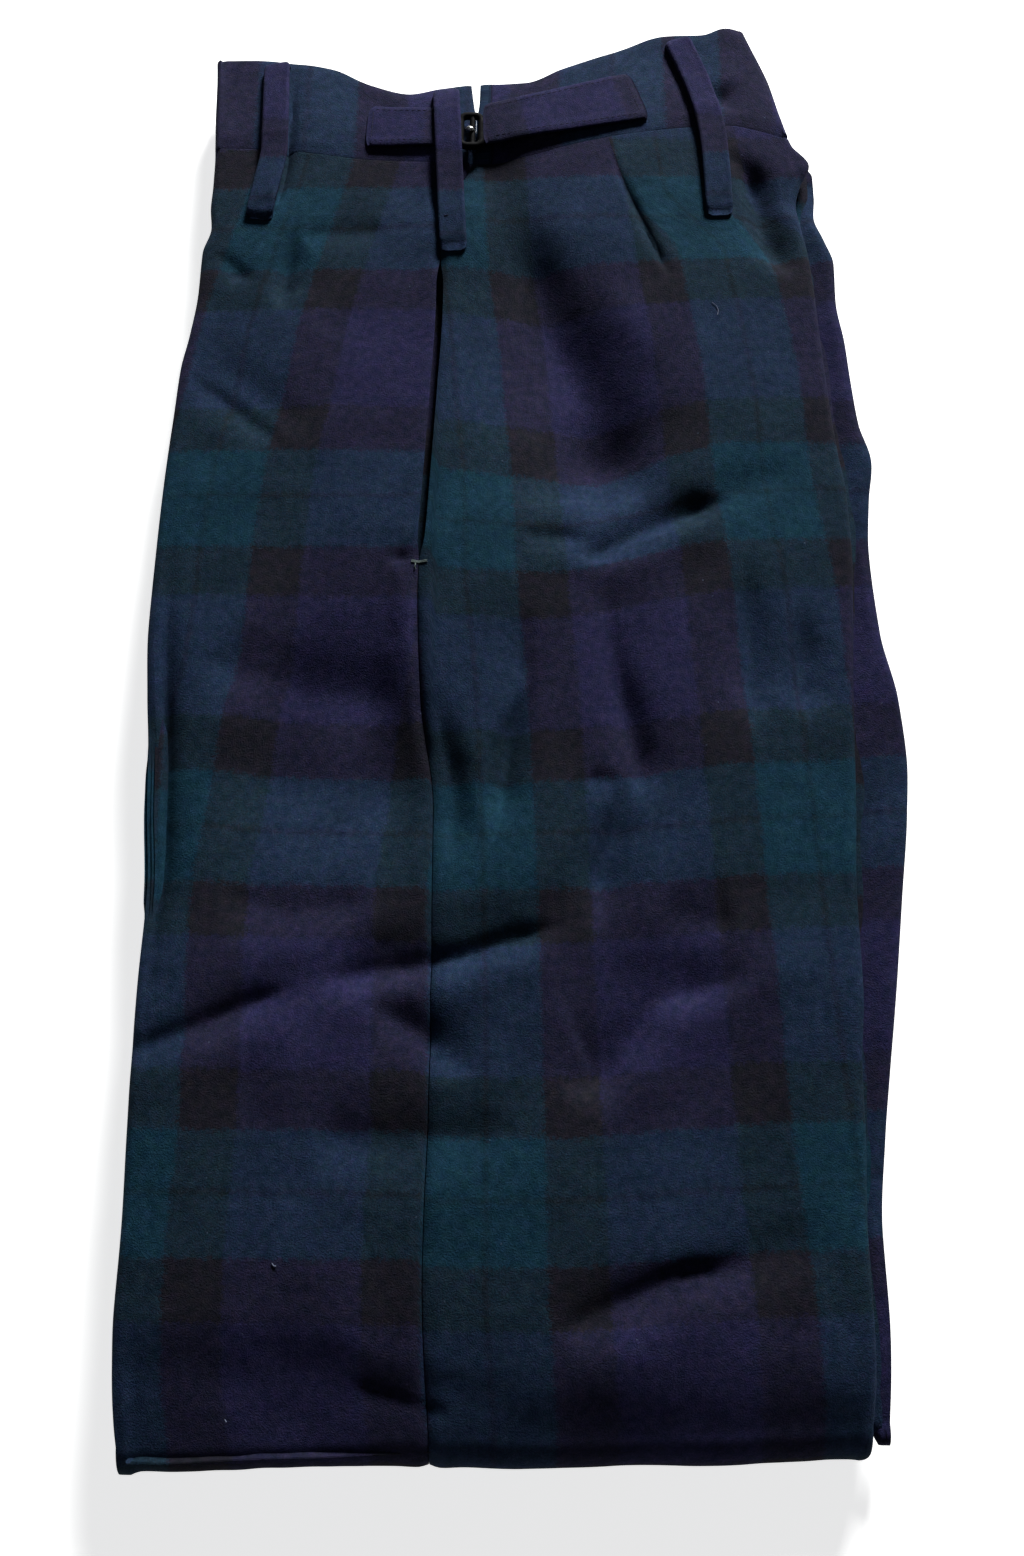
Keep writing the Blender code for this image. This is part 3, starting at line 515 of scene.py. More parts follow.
tartanWool = woolMaterial()
darkThread = threadMaterial("darkSewingThread", "#16162a")
paleThread = threadMaterial("paleBarTackThread", "#65716f")
lintFibre = threadMaterial("paleLint", "#6d7488")
japannedSteel = metalMaterial("blackJapannedSteel", "#040405", 0.0, 0.55, 0.25)
brightSteel = metalMaterial("wornBrightSteel", "#d8d8d4", 1.0, 0.16, 0.2)
print("materials made")

buckle = {"at": (-16.5, 270.8), "length": 11.2, "width": 17.6, "wire": 1.45, "corner": 2.6, "lift": 2.0}
# from the cloth's own axes to the frame's: the buckle's middle is known in both
shift = np.append(np.mean(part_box("adjuster_buckle"), axis=0)[:2] / mm - buckle["at"], 0)
collection = bpy.data.collections.new("tartanTrews")
bpy.context.scene.collection.children.link(collection)


def newPiece(name, points, faces, uv, material):
    # a mesh from points in mm and quads, with its thread places as a UV map
    mesh = bpy.data.meshes.new(name)
    mesh.from_pydata(((points + shift) * mm).tolist(), [], faces.tolist())
    mesh.polygons.foreach_set("use_smooth", np.ones(len(mesh.polygons), bool))
    if uv is not None:
        corners = np.zeros(len(mesh.loops), int)
        mesh.loops.foreach_get("vertex_index", corners)
        mesh.uv_layers.new(name="threads").data.foreach_set("uv", uv[corners].ravel().astype(np.float32))
    mesh.materials.append(material)
    piece = bpy.data.objects.new(name, mesh)
    collection.objects.link(piece)
    return piece


def gridFaces(n, m, flip=False):
    # quads between neighbours on a grid of n by m points
    k = np.arange(n * m).reshape(n, m)
    quads = np.stack([k[:-1, :-1], k[1:, :-1], k[1:, 1:], k[:-1, 1:]], axis=-1).reshape(-1, 4)
    return quads[:, ::-1] if flip else quads


def clothWall(name, grid, uv, thick, facing, at):
    # a cloth wall: the outer surface as a grid, thickened inwards, its cut edges softened
    grid[..., 2] = np.maximum(grid[..., 2], 0.05)
    n, m = grid.shape[:2]
    i, j = at
    normal = np.cross(grid[i + 1, j] - grid[i, j], grid[i, j + 1] - grid[i, j])
    flip = (normal[2] > 0) != (facing > 0)
    piece = newPiece(name, grid.reshape(-1, 3), gridFaces(n, m, flip), uv.reshape(-1, 2), tartanWool)
    solid = piece.modifiers.new("thickness", "SOLIDIFY")
    solid.thickness = thick * mm
    solid.offset = -1
    solid.use_even_offset = False
    soft = piece.modifiers.new("softEdges", "BEVEL")
    soft.width = 0.28 * thick * mm
    soft.segments = 2
    soft.limit_method = "ANGLE"
    soft.angle_limit = math.radians(65)
    return piece


def around(degrees, atX, side, reach):
    # how far a point round the crease lies along the cloth, past the crease's inner end
    return atX + side * 1.38 * reach * (90 - degrees) / 90

def stations(shares):
    # across a panel: the turns round its crease, then shares from the crease to its far edge
    turns = np.append(creaseTurns, np.full(len(shares), 90.0))[:, None]
    across = np.append(np.zeros(len(creaseTurns)), shares)[:, None]
    return turns, across, (np.arange(len(turns)) >= len(creaseTurns))[:, None]


def turnedOver(x, out, bend, axisY):
    # points turned about the fold's axis, each as far out from it as it lay
    y = axisY - out * np.sin(bend)
    return np.stack([x + 0 * bend, y, sunk(stack["foldR"] + out * np.cos(bend), y, x)], axis=-1)


def legPanel(name, side, threadsAcross):
    # across the cloth it runs round the crease, then over the top to the side seam,
    # and along it from the waistband down, then round the fold at the knee
    column = "front" if side < 0 else "back"
    widthHere = 95 if side < 0 else 148
    shares = np.linspace(0, 1, int(widthHere / step))
    if side > 0:
        # two columns side by side on the dart, where the cloth's threads jump
        shares = np.sort(np.append(shares, [dart["share"] - 0.0006, dart["share"] + 0.0006]))
    turns, across, isTop = stations(shares)
    t = rowShares(int(480 / step))[::-1][None, :]
    x = np.zeros((len(turns), t.size))
    for _ in range(5):
        low = end("fold", x) + stack["foldR"]
        y = low + (end("seam", x) - cloth["waistGap"] / 2 - low) * t
        crease = edge(column, y)
        roll = crease - side * stack["reach"]
        gap = cloth["seamGap"] + pocket["gap"] * pocketOpen(y)
        seam = sideSeam(y) + side * gap / 2
        share = across
        if side > 0:
            here = (smoothRows(dartRows, 1, y) - roll) / (seam - roll)
            past = 1 - (1 - across) * (1 - here) / (1 - dart["share"])
            share = np.where(across < dart["share"], across * here / dart["share"], past)
        x = np.where(isTop, roll + (seam - roll) * share, roll)
    lip = pocketOpen(y) * np.exp(-(((x - sideSeam(y)) / 5) ** 2)) * pocketLips[side]
    z = fineHeight(x, y) + np.where(isTop, lip, 0)
    angle = np.radians(turns)
    rise = np.where(turns < 0, halfHigh, z - topZ)
    z = np.where(isTop, z, topZ + rise * np.sin(angle))
    flatX = np.where(isTop, x, around(turns, roll, side, stack["reach"]))
    x = np.where(isTop, x, crease - side * stack["reach"] * (1 - np.cos(angle)))
    straight = np.stack([x, y, sunk(z, y, x)], axis=-1)
    # round the fold, with slow waves on it
    bend = np.radians(foldTurns)[None, :]
    arcY = y[:, -1:] - stack["foldR"] * bend
    out = z[:, -1:] - stack["foldR"] + 0.3 * valueNoise(flatX[:, -1:], arcY, 22, 21) * np.sin(bend) ** 0.5
    grid = np.concatenate([straight, turnedOver(x[:, -1:], out, bend, y[:, -1:])], axis=1)
    flatX = np.concatenate([flatX, np.repeat(flatX[:, -1:], bend.size, axis=1)], axis=1)
    flatY = np.concatenate([y, arcY], axis=1)
    uv = np.stack([threadsAcross(flatX, flatY), alongThreads(flatX, flatY)], axis=-1)
    return clothWall(name, grid, uv, cloth["thick"], 1, (len(creaseTurns) + 4, t.size // 2))


def dress(piece, *nodes, slot="tartan_wool"):
    # the piece stands for its solids, which it hides, and rides on the part
    if nodes:
        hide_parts(*nodes)
    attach(piece, "root")
    return piece


leftLegFront = dress(legPanel("leftLegFront", -1, frontThreads), "left_leg_front_panel")
leftLegBack = dress(legPanel("leftLegBack", 1, backThreads), "left_leg_back_panel")
print("left leg's panels made")


def underReach(y):
    # where the cloth under the top leg's back crease ends, inside both creases
    return np.minimum(edge("back", y), edge("under", y) - 1) - stack["reach"] - 0.2


underLeg = {"dip": 2.6, "dipHalf": 6.5, "bulge": 4.0, "bulgeOver": 3.0, "curl": 9.0, "stripeAt": 121, "stretch": 1.02}


def underPanel():
    # the right leg's back panel, where it shows past the top leg's crease, round its own crease and the fold
    turns, across, isTop = stations(np.linspace(0, 1, 9))
    axisY = float(end("fold", 110)) + stack["foldR"]
    high = float(end("seam", 112)) - 2 * cloth["seamGap"]
    y = np.repeat((axisY + (high - axisY) * rowShares(int(480 / step))[::-1])[None, :], len(turns), axis=0)
    outer = edge("under", y)
    roll = outer - stack["reach"]
    x = np.where(isTop, roll + (underReach(y) - roll) * across, roll)
    clear = ease((x - edge("back", y) + 1.5) / 4)
    dip = underLeg["dip"] * np.exp(-(((x - edge("back", y)) / underLeg["dipHalf"]) ** 2))
    z = underZ + halfHigh - dip + clear * np.clip(detailHeight(x, y) + 0.1, -1.2, 0.9)
    angle = np.radians(turns)
    flatX = np.where(isTop, x, around(turns, roll, 1, stack["reach"]))
    z = np.where(isTop, z, underZ + np.where(turns < 0, halfHigh, z - underZ) * np.sin(angle))
    x = np.where(isTop, x, outer - stack["reach"] * (1 - np.cos(angle)))
    bend = np.radians(foldTurns[foldTurns < 152])[None, :]
    past = float(edge("back", -205)) + 0.5
    bulge = underLeg["bulge"] * ease((x[:, -1:] - past) / underLeg["bulgeOver"])
    out = z[:, -1:] + bulge * np.sin(bend) ** 2 - stack["foldR"]
    grid = np.stack([x, y, sunk(z, y, x)], axis=-1)
    grid = np.concatenate([grid, turnedOver(x[:, -1:], out, bend, axisY)], axis=1)
    flatX = np.concatenate([flatX, np.repeat(flatX[:, -1:], bend.size, axis=1)], axis=1)
    flatY = np.concatenate([y, axisY - underLeg["curl"] * np.repeat(bend, len(turns), axis=0)], axis=1)
    threads = (flatX - underLeg["stripeAt"]) / underLeg["stretch"] + blueMiddle
    uv = np.stack([threads, alongThreads(np.full(flatY.shape, 120.0), flatY) - 3], axis=-1)
    return clothWall("rightLegBack", grid, uv, cloth["thick"], 1, (len(creaseTurns) + 1, y.shape[1] // 2))


rightLegBack = dress(underPanel(), "right_leg_back_panel")
print("right leg's panel made")


def waistband(name, side, upper, node):
    # one half of a side's waistband: its outer face from the slit, round the crease, and tucked back inside
    column = "front" if side < 0 else "back"
    halfZ = topZ if upper else underZ
    lift = band["proud"] if upper else 0.0
    footGap = cloth["waistGap"] / 2 if upper else 2 * cloth["seamGap"]
    width = 105 if side < 0 else 125
    tops = np.linspace(1, 0, int(width / (step + 0.3)))
    tucks = 1 - rowShares(int(band["tuck"] / 3.0))[::-1]
    kind = np.concatenate([np.zeros(len(tops)), np.ones(len(bandTurns)), np.full(len(tucks), 2)])[:, None]
    value = np.concatenate([tops, bandTurns, tucks])[:, None]
    t = np.linspace(0, 1, 30)[None, :]
    x = np.zeros((len(value), t.size))
    roll = x.copy()
    angle = np.radians(np.where(kind == 1, value, 90))
    for _ in range(6):
        at = np.where(kind == 1, roll, x)
        low = end("seam", at) + footGap + (band["slant"] if side > 0 else 0.0) * (kind == 1)
        y = low + (end("top", at) - low) * t
        crease = edge(column, y)
        roll = crease - side * band["reach"]
        slit = sideSeam(y) + side * smoothRows(slitRows, 1, y)
        x = np.where(kind == 0, roll + (slit - roll) * value, roll - side * band["tuck"] * value)
        x = np.where(kind == 1, crease - side * band["reach"] * (1 - np.cos(angle)), x)
    # the outer face, a little softer at its top edge
    soft = 0.5 * np.exp(-(((1 - t) * 42 / 2.2) ** 2))
    face = (skinHeight(x, y) - halfZ - soft) if upper else halfHigh + 0 * x
    turned = (halfHigh + np.where(value > 0, lift, 0)) * np.sin(angle)
    rise = np.where(kind == 0, face, np.where(kind == 1, turned, -halfHigh + 0.25 * valueNoise(x, y, 26, 31)))
    grid = np.stack([x, y, sunk(halfZ + (rise if upper else -rise), y)], axis=-1)
    flatX = np.where(kind == 1, around(np.degrees(angle), roll, side, band["reach"]), x)
    flatX = np.where(kind == 2, around(-90, roll, side, band["reach"]) + side * band["tuck"] * value, flatX)
    # the weft of the blue stripe runs along the band
    if side < 0:
        # past the side loop the end is faced with the green stripe
        threads = greenMiddle + np.where(flatX > -25.5, flatX + 18, (flatX + 84) / 1.12)
    else:
        # a join under the back loop
        join = np.interp(y, (269, 300, 325), (81.3, 76.0, 68.2))
        threads = greenMiddle + np.where(flatX > join, (flatX - 66) / 1.12, (flatX - 41.5) / 1.16)
        threads = np.where(flatX < -9.2, greenMiddle + 10, threads)
    uv = np.stack([threads, blueMiddle + 39 * (t - 0.5) + 0 * x], axis=-1)
    piece = clothWall(name, grid, uv, band["thick"], 1 if upper else -1, (len(tops) // 2, t.size // 2))
    return dress(piece, node)


waistbands = [
    waistband("waistbandFrontLeft", -1, True, "waistband_front_left"),
    waistband("waistbandBackLeft", 1, True, "waistband_back_left"),
    waistband("waistbandFrontRight", -1, False, "waistband_front_right"),
    waistband("waistbandBackRight", 1, False, "waistband_back_right"),
]
print("waistbands made")


def tubeFaces(rings, sides, closed=False):
    # quads from each ring of points to the next, and across both end rings of an open tube
    k = np.arange(rings * sides).reshape(rings, sides)
    if closed:
        k = np.concatenate([k, k[:1]])
    beside = np.roll(k, -1, axis=1)
    faces = np.stack([k[:-1], beside[:-1], beside[1:], k[1:]], axis=-1).reshape(-1, 4)
    if closed:
        return faces
    half = np.arange(sides // 2 - 1)
    cap = np.stack([half, half + 1, sides - 2 - half, sides - 1 - half], axis=-1)
    return np.concatenate([faces, cap, cap[:, ::-1] + (rings - 1) * sides])


def headings(line):
    # unit steps ahead along a line and to its right
    ahead = np.gradient(line[:, :2], axis=0)
    ahead /= np.linalg.norm(ahead, axis=1)[:, None]
    return ahead, np.stack([ahead[:, 1], -ahead[:, 0]], axis=1)


def distances(line):
    # how far along a line each of its points lies
    return np.append(0, np.cumsum(np.linalg.norm(np.diff(line, axis=0), axis=1)))


strip = {"clear": 0.05, "sides": 40}


def stripRest(line, across, width, px, py):
    # the height of a strip's underside: mostly the highest of five places under it
    spots = [line[:, :2] + across * width * s for s in (-0.5, -0.25, 0, 0.25, 0.5)]
    highest = np.max([skinHeight(*spot.T) for spot in spots], axis=0)[:, None]
    return 0.75 * highest + 0.25 * skinHeight(px, py) + cloth["seamGap"] + strip["clear"] + line[:, 2:]


def stripLean(tilt, share, fromEnd):
    # how much a strip leans to one side in the last 12 mm before its end
    return tilt * (0.5 - share) * (1 - ease(1 - fromEnd / 12))


def stripPiece(name, line, width, thick, lineUv, node, roundEnds=(0.0, 0.0), slant=0.0, corners=1.3, tilt=0.0):
    # a flat strip on the cloth: a rounded flat section carried along the middle line; its first end may be
    # cut on a slant and its ends' corners are a little rounded
    count, sides = len(line), strip["sides"]
    ahead, across = headings(line)
    width = np.broadcast_to(np.asarray(width, float), (count,))[:, None]
    a = np.linspace(0, 2 * math.pi, sides, endpoint=False) + math.pi / sides
    wide = np.sign(np.cos(a)) * np.abs(np.cos(a)) ** 0.34
    high = np.sign(np.sin(a)) * np.abs(np.sin(a)) ** 0.5
    spread = 0.5 * width * wide
    fromStart, fromEnd = (np.linalg.norm(line[:, :2] - line[k, :2], axis=1)[:, None] for k in (0, -1))
    corner = corners * np.abs(wide) ** 5 * (ease(fromEnd / 5) - ease(fromStart / 5))
    corner = corner - slant * spread / (width / 2) * (1 - ease(fromStart / 14))
    px = line[:, :1] + across[:, :1] * spread + ahead[:, :1] * corner
    py = line[:, 1:2] + across[:, 1:] * spread + ahead[:, 1:] * corner
    # a folded strip is a little thicker along both edges
    rolled = 0.2 * np.exp(-(((np.abs(wide) - 0.82) / 0.14) ** 2)) * (high > 0)
    pz = stripRest(line, across, width, px, py) + thick / 2 * (1 + high) + rolled
    pz += stripLean(tilt, spread / width, fromEnd)
    for far, size in zip((fromStart, fromEnd), roundEnds):
        if size:
            pz -= ease(1 - far / size) * thick * 0.62 * (high > 0)
    points = np.stack([px, py, sunk(pz, py)], axis=-1).reshape(-1, 3)
    u, v = lineUv(spread, distances(line[:, :2])[:, None] + 0 * spread, py)
    faces = tubeFaces(count, sides)
    middle = points[faces[sides * (count // 2) + sides // 4]]
    if np.cross(middle[1] - middle[0], middle[2] - middle[0])[2] < 0:
        faces = faces[:, ::-1]
    return dress(newPiece(name, points, faces, np.stack([u, v], axis=-1).reshape(-1, 2), tartanWool), node)


def fineLine(rows, count):
    # a smooth line of many points through a few rows
    table = np.column_stack([np.linspace(0, 1, len(rows)), rows])
    return np.stack([smoothRows(table, k, np.linspace(0, 1, count)) for k in (1, 2, 3)], axis=1)


def straightLine(start, stop, lifts, count):
    # a straight line whose height over the cloth eases from one lift to the other
    share = np.linspace(0, 1, count)
    x = start[0] + (stop[0] - start[0]) * share
    y = start[1] + (stop[1] - start[1]) * share
    return np.stack([x, y, lifts[0] + (lifts[1] - lifts[0]) * ease(share)], axis=1)


loop = {"width": 10.8, "thick": 2.2, "steps": 70}
# rows from the waist's top edge to the foot: x, y and how far it stands clear; then where its green weft lies
loops = {
    "Front": (((-97.5, 311.4, -2.6), (-97.3, 308.2, -0.2), (-95.9, 280.0, 1.2), (-95.6, 264.0, 1.1),
               (-97.6, 248.0, 0.8), (-100.6, 230.6, -0.4)), 239),
    "Side": (((-27.0, 296.0, -2.8), (-26.9, 292.8, 0.4), (-26.2, 280.0, 2.3), (-25.4, 262.0, 1.9),
              (-23.0, 215.8, -0.4)), 222),
    "Back": (((68.2, 325.0, -2.6), (69.3, 321.6, -0.2), (76.0, 300.0, 0.8), (81.3, 269.0, 1.1),
              (82.6, 233.4, -0.3)), 242),
}
loopLines = {}
for loopName, (loopRows, greenAt) in loops.items():
    loopLines[loopName] = fineLine(loopRows, loop["steps"])
    stripPiece(
        "beltLoop" + loopName, loopLines[loopName], loop["width"], loop["thick"],
        lambda spread, length, y, green=greenAt: (blueMiddle + spread, greenMiddle + (y - green) / 1.04),
        "belt_loop_" + loopName.lower(), (1.6, 3.2), corners=2.3, tilt=1.5 if loopName == "Front" else 0.5,
    )

tab = {"left": (-58.8, 275.8), "right": (-22.4, 274.4), "widths": (20.8, 18.6), "thick": 1.3}
tabLine = straightLine(tab["left"], tab["right"], (0.0, 0.2), 26)
tabWidth = np.linspace(*tab["widths"], len(tabLine))
adjusterTab = stripPiece(
    "adjusterTab", tabLine, tabWidth, tab["thick"],
    lambda spread, length, y: (36 + length, blueMiddle + spread), "adjuster_tab_front", (1.6, 0.0),
)
strap = {
    "left": (-11.6, 273.4), "right": (52.6, 292.7), "widths": (18.2, 25.6),
    "thick": 1.6, "lift": 2.2, "tilt": 0.9, "slant": 2.6,
}
strapLine = straightLine(strap["left"], strap["right"], (strap["lift"], -0.3), 46)
strapWidth = np.linspace(*strap["widths"], len(strapLine))
adjusterStrap = stripPiece(
    "adjusterStrap", strapLine, strapWidth, strap["thick"],
    lambda spread, length, y: (0.4 + length * 1.02, blueMiddle + spread),
    "adjuster_strap_back", (0.0, 1.8), strap["slant"], tilt=strap["tilt"],
)
print("belt loops and adjuster made")


def tubes(paths, radius, sides, closed=False):
    # every path is a row of points; a ring of points stands square to it at each of them
    paths = np.asarray(paths, float)
    before, after = np.roll(paths, 1, axis=1), np.roll(paths, -1, axis=1)
    if not closed:
        before[:, 0], after[:, -1] = paths[:, 0], paths[:, -1]
    ahead = after - before
    ahead /= np.linalg.norm(ahead, axis=-1, keepdims=True)
    up = np.broadcast_to(np.array([0.0, 0.0, 1.0]), ahead.shape)
    steep = np.abs(ahead[..., 2:]) > 0.95
    up = np.where(steep, np.array([0.0, 1.0, 0.0]), up)
    right = np.cross(ahead, up)
    right /= np.linalg.norm(right, axis=-1, keepdims=True)
    up = np.cross(right, ahead)
    a = np.linspace(0, 2 * math.pi, sides, endpoint=False)
    radius = np.broadcast_to(np.asarray(radius, float), paths.shape[:2])[..., None, None]
    ring = right[:, :, None] * np.cos(a)[None, None, :, None] + up[:, :, None] * np.sin(a)[None, None, :, None]
    points = (paths[:, :, None] + radius * ring).reshape(-1, 3)
    rings = paths.shape[1]
    faces = tubeFaces(rings, sides, closed)
    starts = np.arange(len(paths)) * rings * sides
    faces = (faces[None] + starts[:, None, None]).reshape(-1, 4)
    return points, faces[:, ::-1]


def tubePiece(name, paths, radius, sides, material, slot, closed=False, nodes=()):
    # one piece of round tubes
    points, faces = tubes(paths, radius, sides, closed)
    return dress(newPiece(name, points, faces, None, material), *nodes, slot=slot)


def buckleHeight():
    # the middle of its wire, over the cloth that it lies on
    x, y = buckle["at"]
    return float(sunk(skinHeight(np.array([x]), np.array([y])) + buckle["lift"] + buckle["wire"], np.array([y]))[0])


buckleZ = buckleHeight()
cornerTurn = np.radians(np.concatenate([np.linspace(q, q + 90, 9) for q in (0, 90, 180, 270)]))
cornerSide = np.repeat([(1, 1), (-1, 1), (-1, -1), (1, -1)], 9, axis=0)
halfSize = np.array([buckle["length"] / 2, buckle["width"] / 2]) - buckle["wire"]
framePath = cornerSide * (halfSize - buckle["corner"])
framePath = framePath + buckle["corner"] * np.stack([np.cos(cornerTurn), np.sin(cornerTurn)], axis=1)
framePath = np.column_stack([framePath + np.array(buckle["at"]), np.full(len(framePath), buckleZ)])
tubePiece("buckleFrame", [framePath], buckle["wire"], 14, japannedSteel, "buckle_metal", True, ["adjuster_buckle"])
barX = buckle["at"][0] + 0.6
barPath = np.array([(barX, buckle["at"][1] + s * (halfSize[1] - 0.2), buckleZ) for s in np.linspace(-1, 1, 9)])
tubePiece("buckleBar", [barPath], 1.15, 12, japannedSteel, "buckle_metal")
pinPath = np.array([(-15.2, 270.3, 0.9), (-16.2, 270.4, 1.35), (-17.4, 270.6, 1.45), (-18.6, 270.8, 1.2)])
pinPath = smoothPath(pinPath + [0, 0, buckleZ], 5)
pinRadius = 0.3 + 0.75 * np.sin(np.linspace(0.12, 3.0, len(pinPath)))
tubePiece("bucklePin", [pinPath], pinRadius, 12, brightSteel, "buckle_metal")
print("buckle made")


def stitchPaths(line, pitch, rise):
    # a row of stitches along a line: each a small hump, sunk at both ends
    length = distances(line)
    starts = np.arange(pitch / 2, length[-1] - pitch, pitch)
    at = starts[:, None] + pitch * 0.74 * np.linspace(0, 1, 5)[None, :]
    path = np.stack([np.interp(at, length, line[:, k]) for k in range(3)], axis=-1)
    path[..., 2] += rise * np.array([-0.5, 0.6, 1.0, 0.6, -0.5])
    return path


def onStrip(line, width, thick, offset, first, last, stepCount=60, tilt=0.0):
    # points on a strip's upper face, offset across from its middle line, between two shares of its length
    share = np.linspace(first, last, stepCount) * (len(line) - 1)
    base = np.arange(len(line))
    middle = np.stack([np.interp(share, base, line[:, k]) for k in range(3)], axis=1)
    across = headings(middle)[1]
    wide = np.interp(share, base, np.broadcast_to(width, len(line)))[:, None]
    offset = np.broadcast_to(offset, len(share))[:, None]
    px = middle[:, :1] + across[:, :1] * offset
    py = middle[:, 1:2] + across[:, 1:] * offset
    toEnd = np.linalg.norm(middle[:, :2] - line[-1, :2], axis=1)[:, None]
    pz = stripRest(middle, across, wide, px, py) + thick + stripLean(tilt, offset / wide, toEnd)
    return np.concatenate([px, py, sunk(pz, py)], axis=1)


def acrossStrip(line, width, thick, share, inset):
    # twelve points straight across a strip, each end inset from its edge
    ends = [onStrip(line, width, thick, s * (width / 2 - inset), share, share + 0.004, 3)[0] for s in (-1, 1)]
    t = np.linspace(0, 1, 12)[:, None]
    return ends[0] * (1 - t) + ends[1] * t


stitchRows = []
for side in (-1, 1):
    tabEdge = np.interp(np.linspace(0.05, 0.97, 60), (0, 1), tab["widths"]) / 2 - 2.2
    stitchRows.append(onStrip(tabLine, tabWidth, tab["thick"], side * tabEdge, 0.05, 0.97))
    strapEdge = np.interp(np.linspace(0.03, 0.96, 60), (0, 1), strap["widths"]) / 2 - 2.3
    stitchRows.append(onStrip(strapLine, strapWidth, strap["thick"], side * strapEdge, 0.03, 0.96, tilt=strap["tilt"]))
stitchRows.append(acrossStrip(tabLine, tab["widths"][0], tab["thick"], 0.06, 2.2))
stitchRows.append(acrossStrip(strapLine, strap["widths"][1], strap["thick"], 0.95, 2.3))
for loopName, line in loopLines.items():
    stitchRows.append(acrossStrip(line, loop["width"], loop["thick"], 0.93, 0.6))
stitches = np.concatenate([stitchPaths(row, 2.4, 0.1) for row in stitchRows])
tubePiece("topStitching", stitches, 0.17, 6, darkThread, "sewing_thread")

# the bar tack that closes the pocket's lower end: tight stitches across the seam
tack = {"ends": (-36.6, -30.8), "at": 82.0, "apart": 0.3, "stray": 0.1, "clear": 0.2, "heap": 0.04}
order = np.arange(3)[:, None]
tackX = np.linspace(*tack["ends"], 9) + 0.0 * order
tackY = tack["at"] + tack["apart"] * (order - 1) + 0.0 * tackX
tackY += tack["stray"] * np.random.default_rng(4).uniform(-1, 1, (3, 1))
tackZ = fineHeight(tackX, tackY) + tack["clear"] + tack["heap"] * order
tackRows = np.stack([tackX, tackY + 0.05 * np.sin(tackX * 3 + order), tackZ], axis=-1)
tackTail = np.array([(-35.2, 81.4, 0.5), (-35.0, 80.6, 0.9), (-35.3, 79.9, 0.8), (-35.0, 79.3, 0.4)])
tackTail[:, 2] += fineHeight(tackTail[:, 0], tackTail[:, 1])
tubePiece("barTack", tackRows, 0.17, 8, paleThread, "sewing_thread")
tubePiece("barTackTail", [smoothPath(tackTail, 4)], 0.2, 8, paleThread, "sewing_thread")

# loose pale fibres on the cloth
lintSpots = (
    (((77.6, 193.0), (79.2, 191.4), (79.9, 189.4), (79.6, 187.4)), 0.11),
    (((-74.6, -157.4), (-73.9, -158.2), (-73.2, -158.3)), 0.16),
    (((-87.5, -202.4), (-86.9, -203.2)), 0.16),
)
for k, (spots, radius) in enumerate(lintSpots):
    path = smoothPath([(x, y, 0) for x, y in spots], 6)
    path[:, 2] = fineHeight(path[:, 0], path[:, 1]) + 0.3
    tubePiece(f"lint{k + 1}", [path], radius, 6, lintFibre, "sewing_thread")
print("sewing made")

# the hidden layers: the right leg and both lower legs
lobeTurns = (-90, -66, -46, -32, -26, -9, 9, 26, 32, 46, 64, 78)
hidden = {
    # each lower layer's insets at the front and the back crease, its hem, and its nose with that of its groove
    "lobes": ((1.4, 1.5, 272.0, 13.2, 13.8), (2.6, 3.4, 266.0, -3.7, -3.7)),
    "front": 4.2, "groove": 1.2, "mouth": 9.0, "hemIn": 5.5, "nose": -3.7, "topNose": -9.8, "waistIn": -0.9,
    "clear": 0.8, "fill": 1.8, "hollow": 2.4,
}


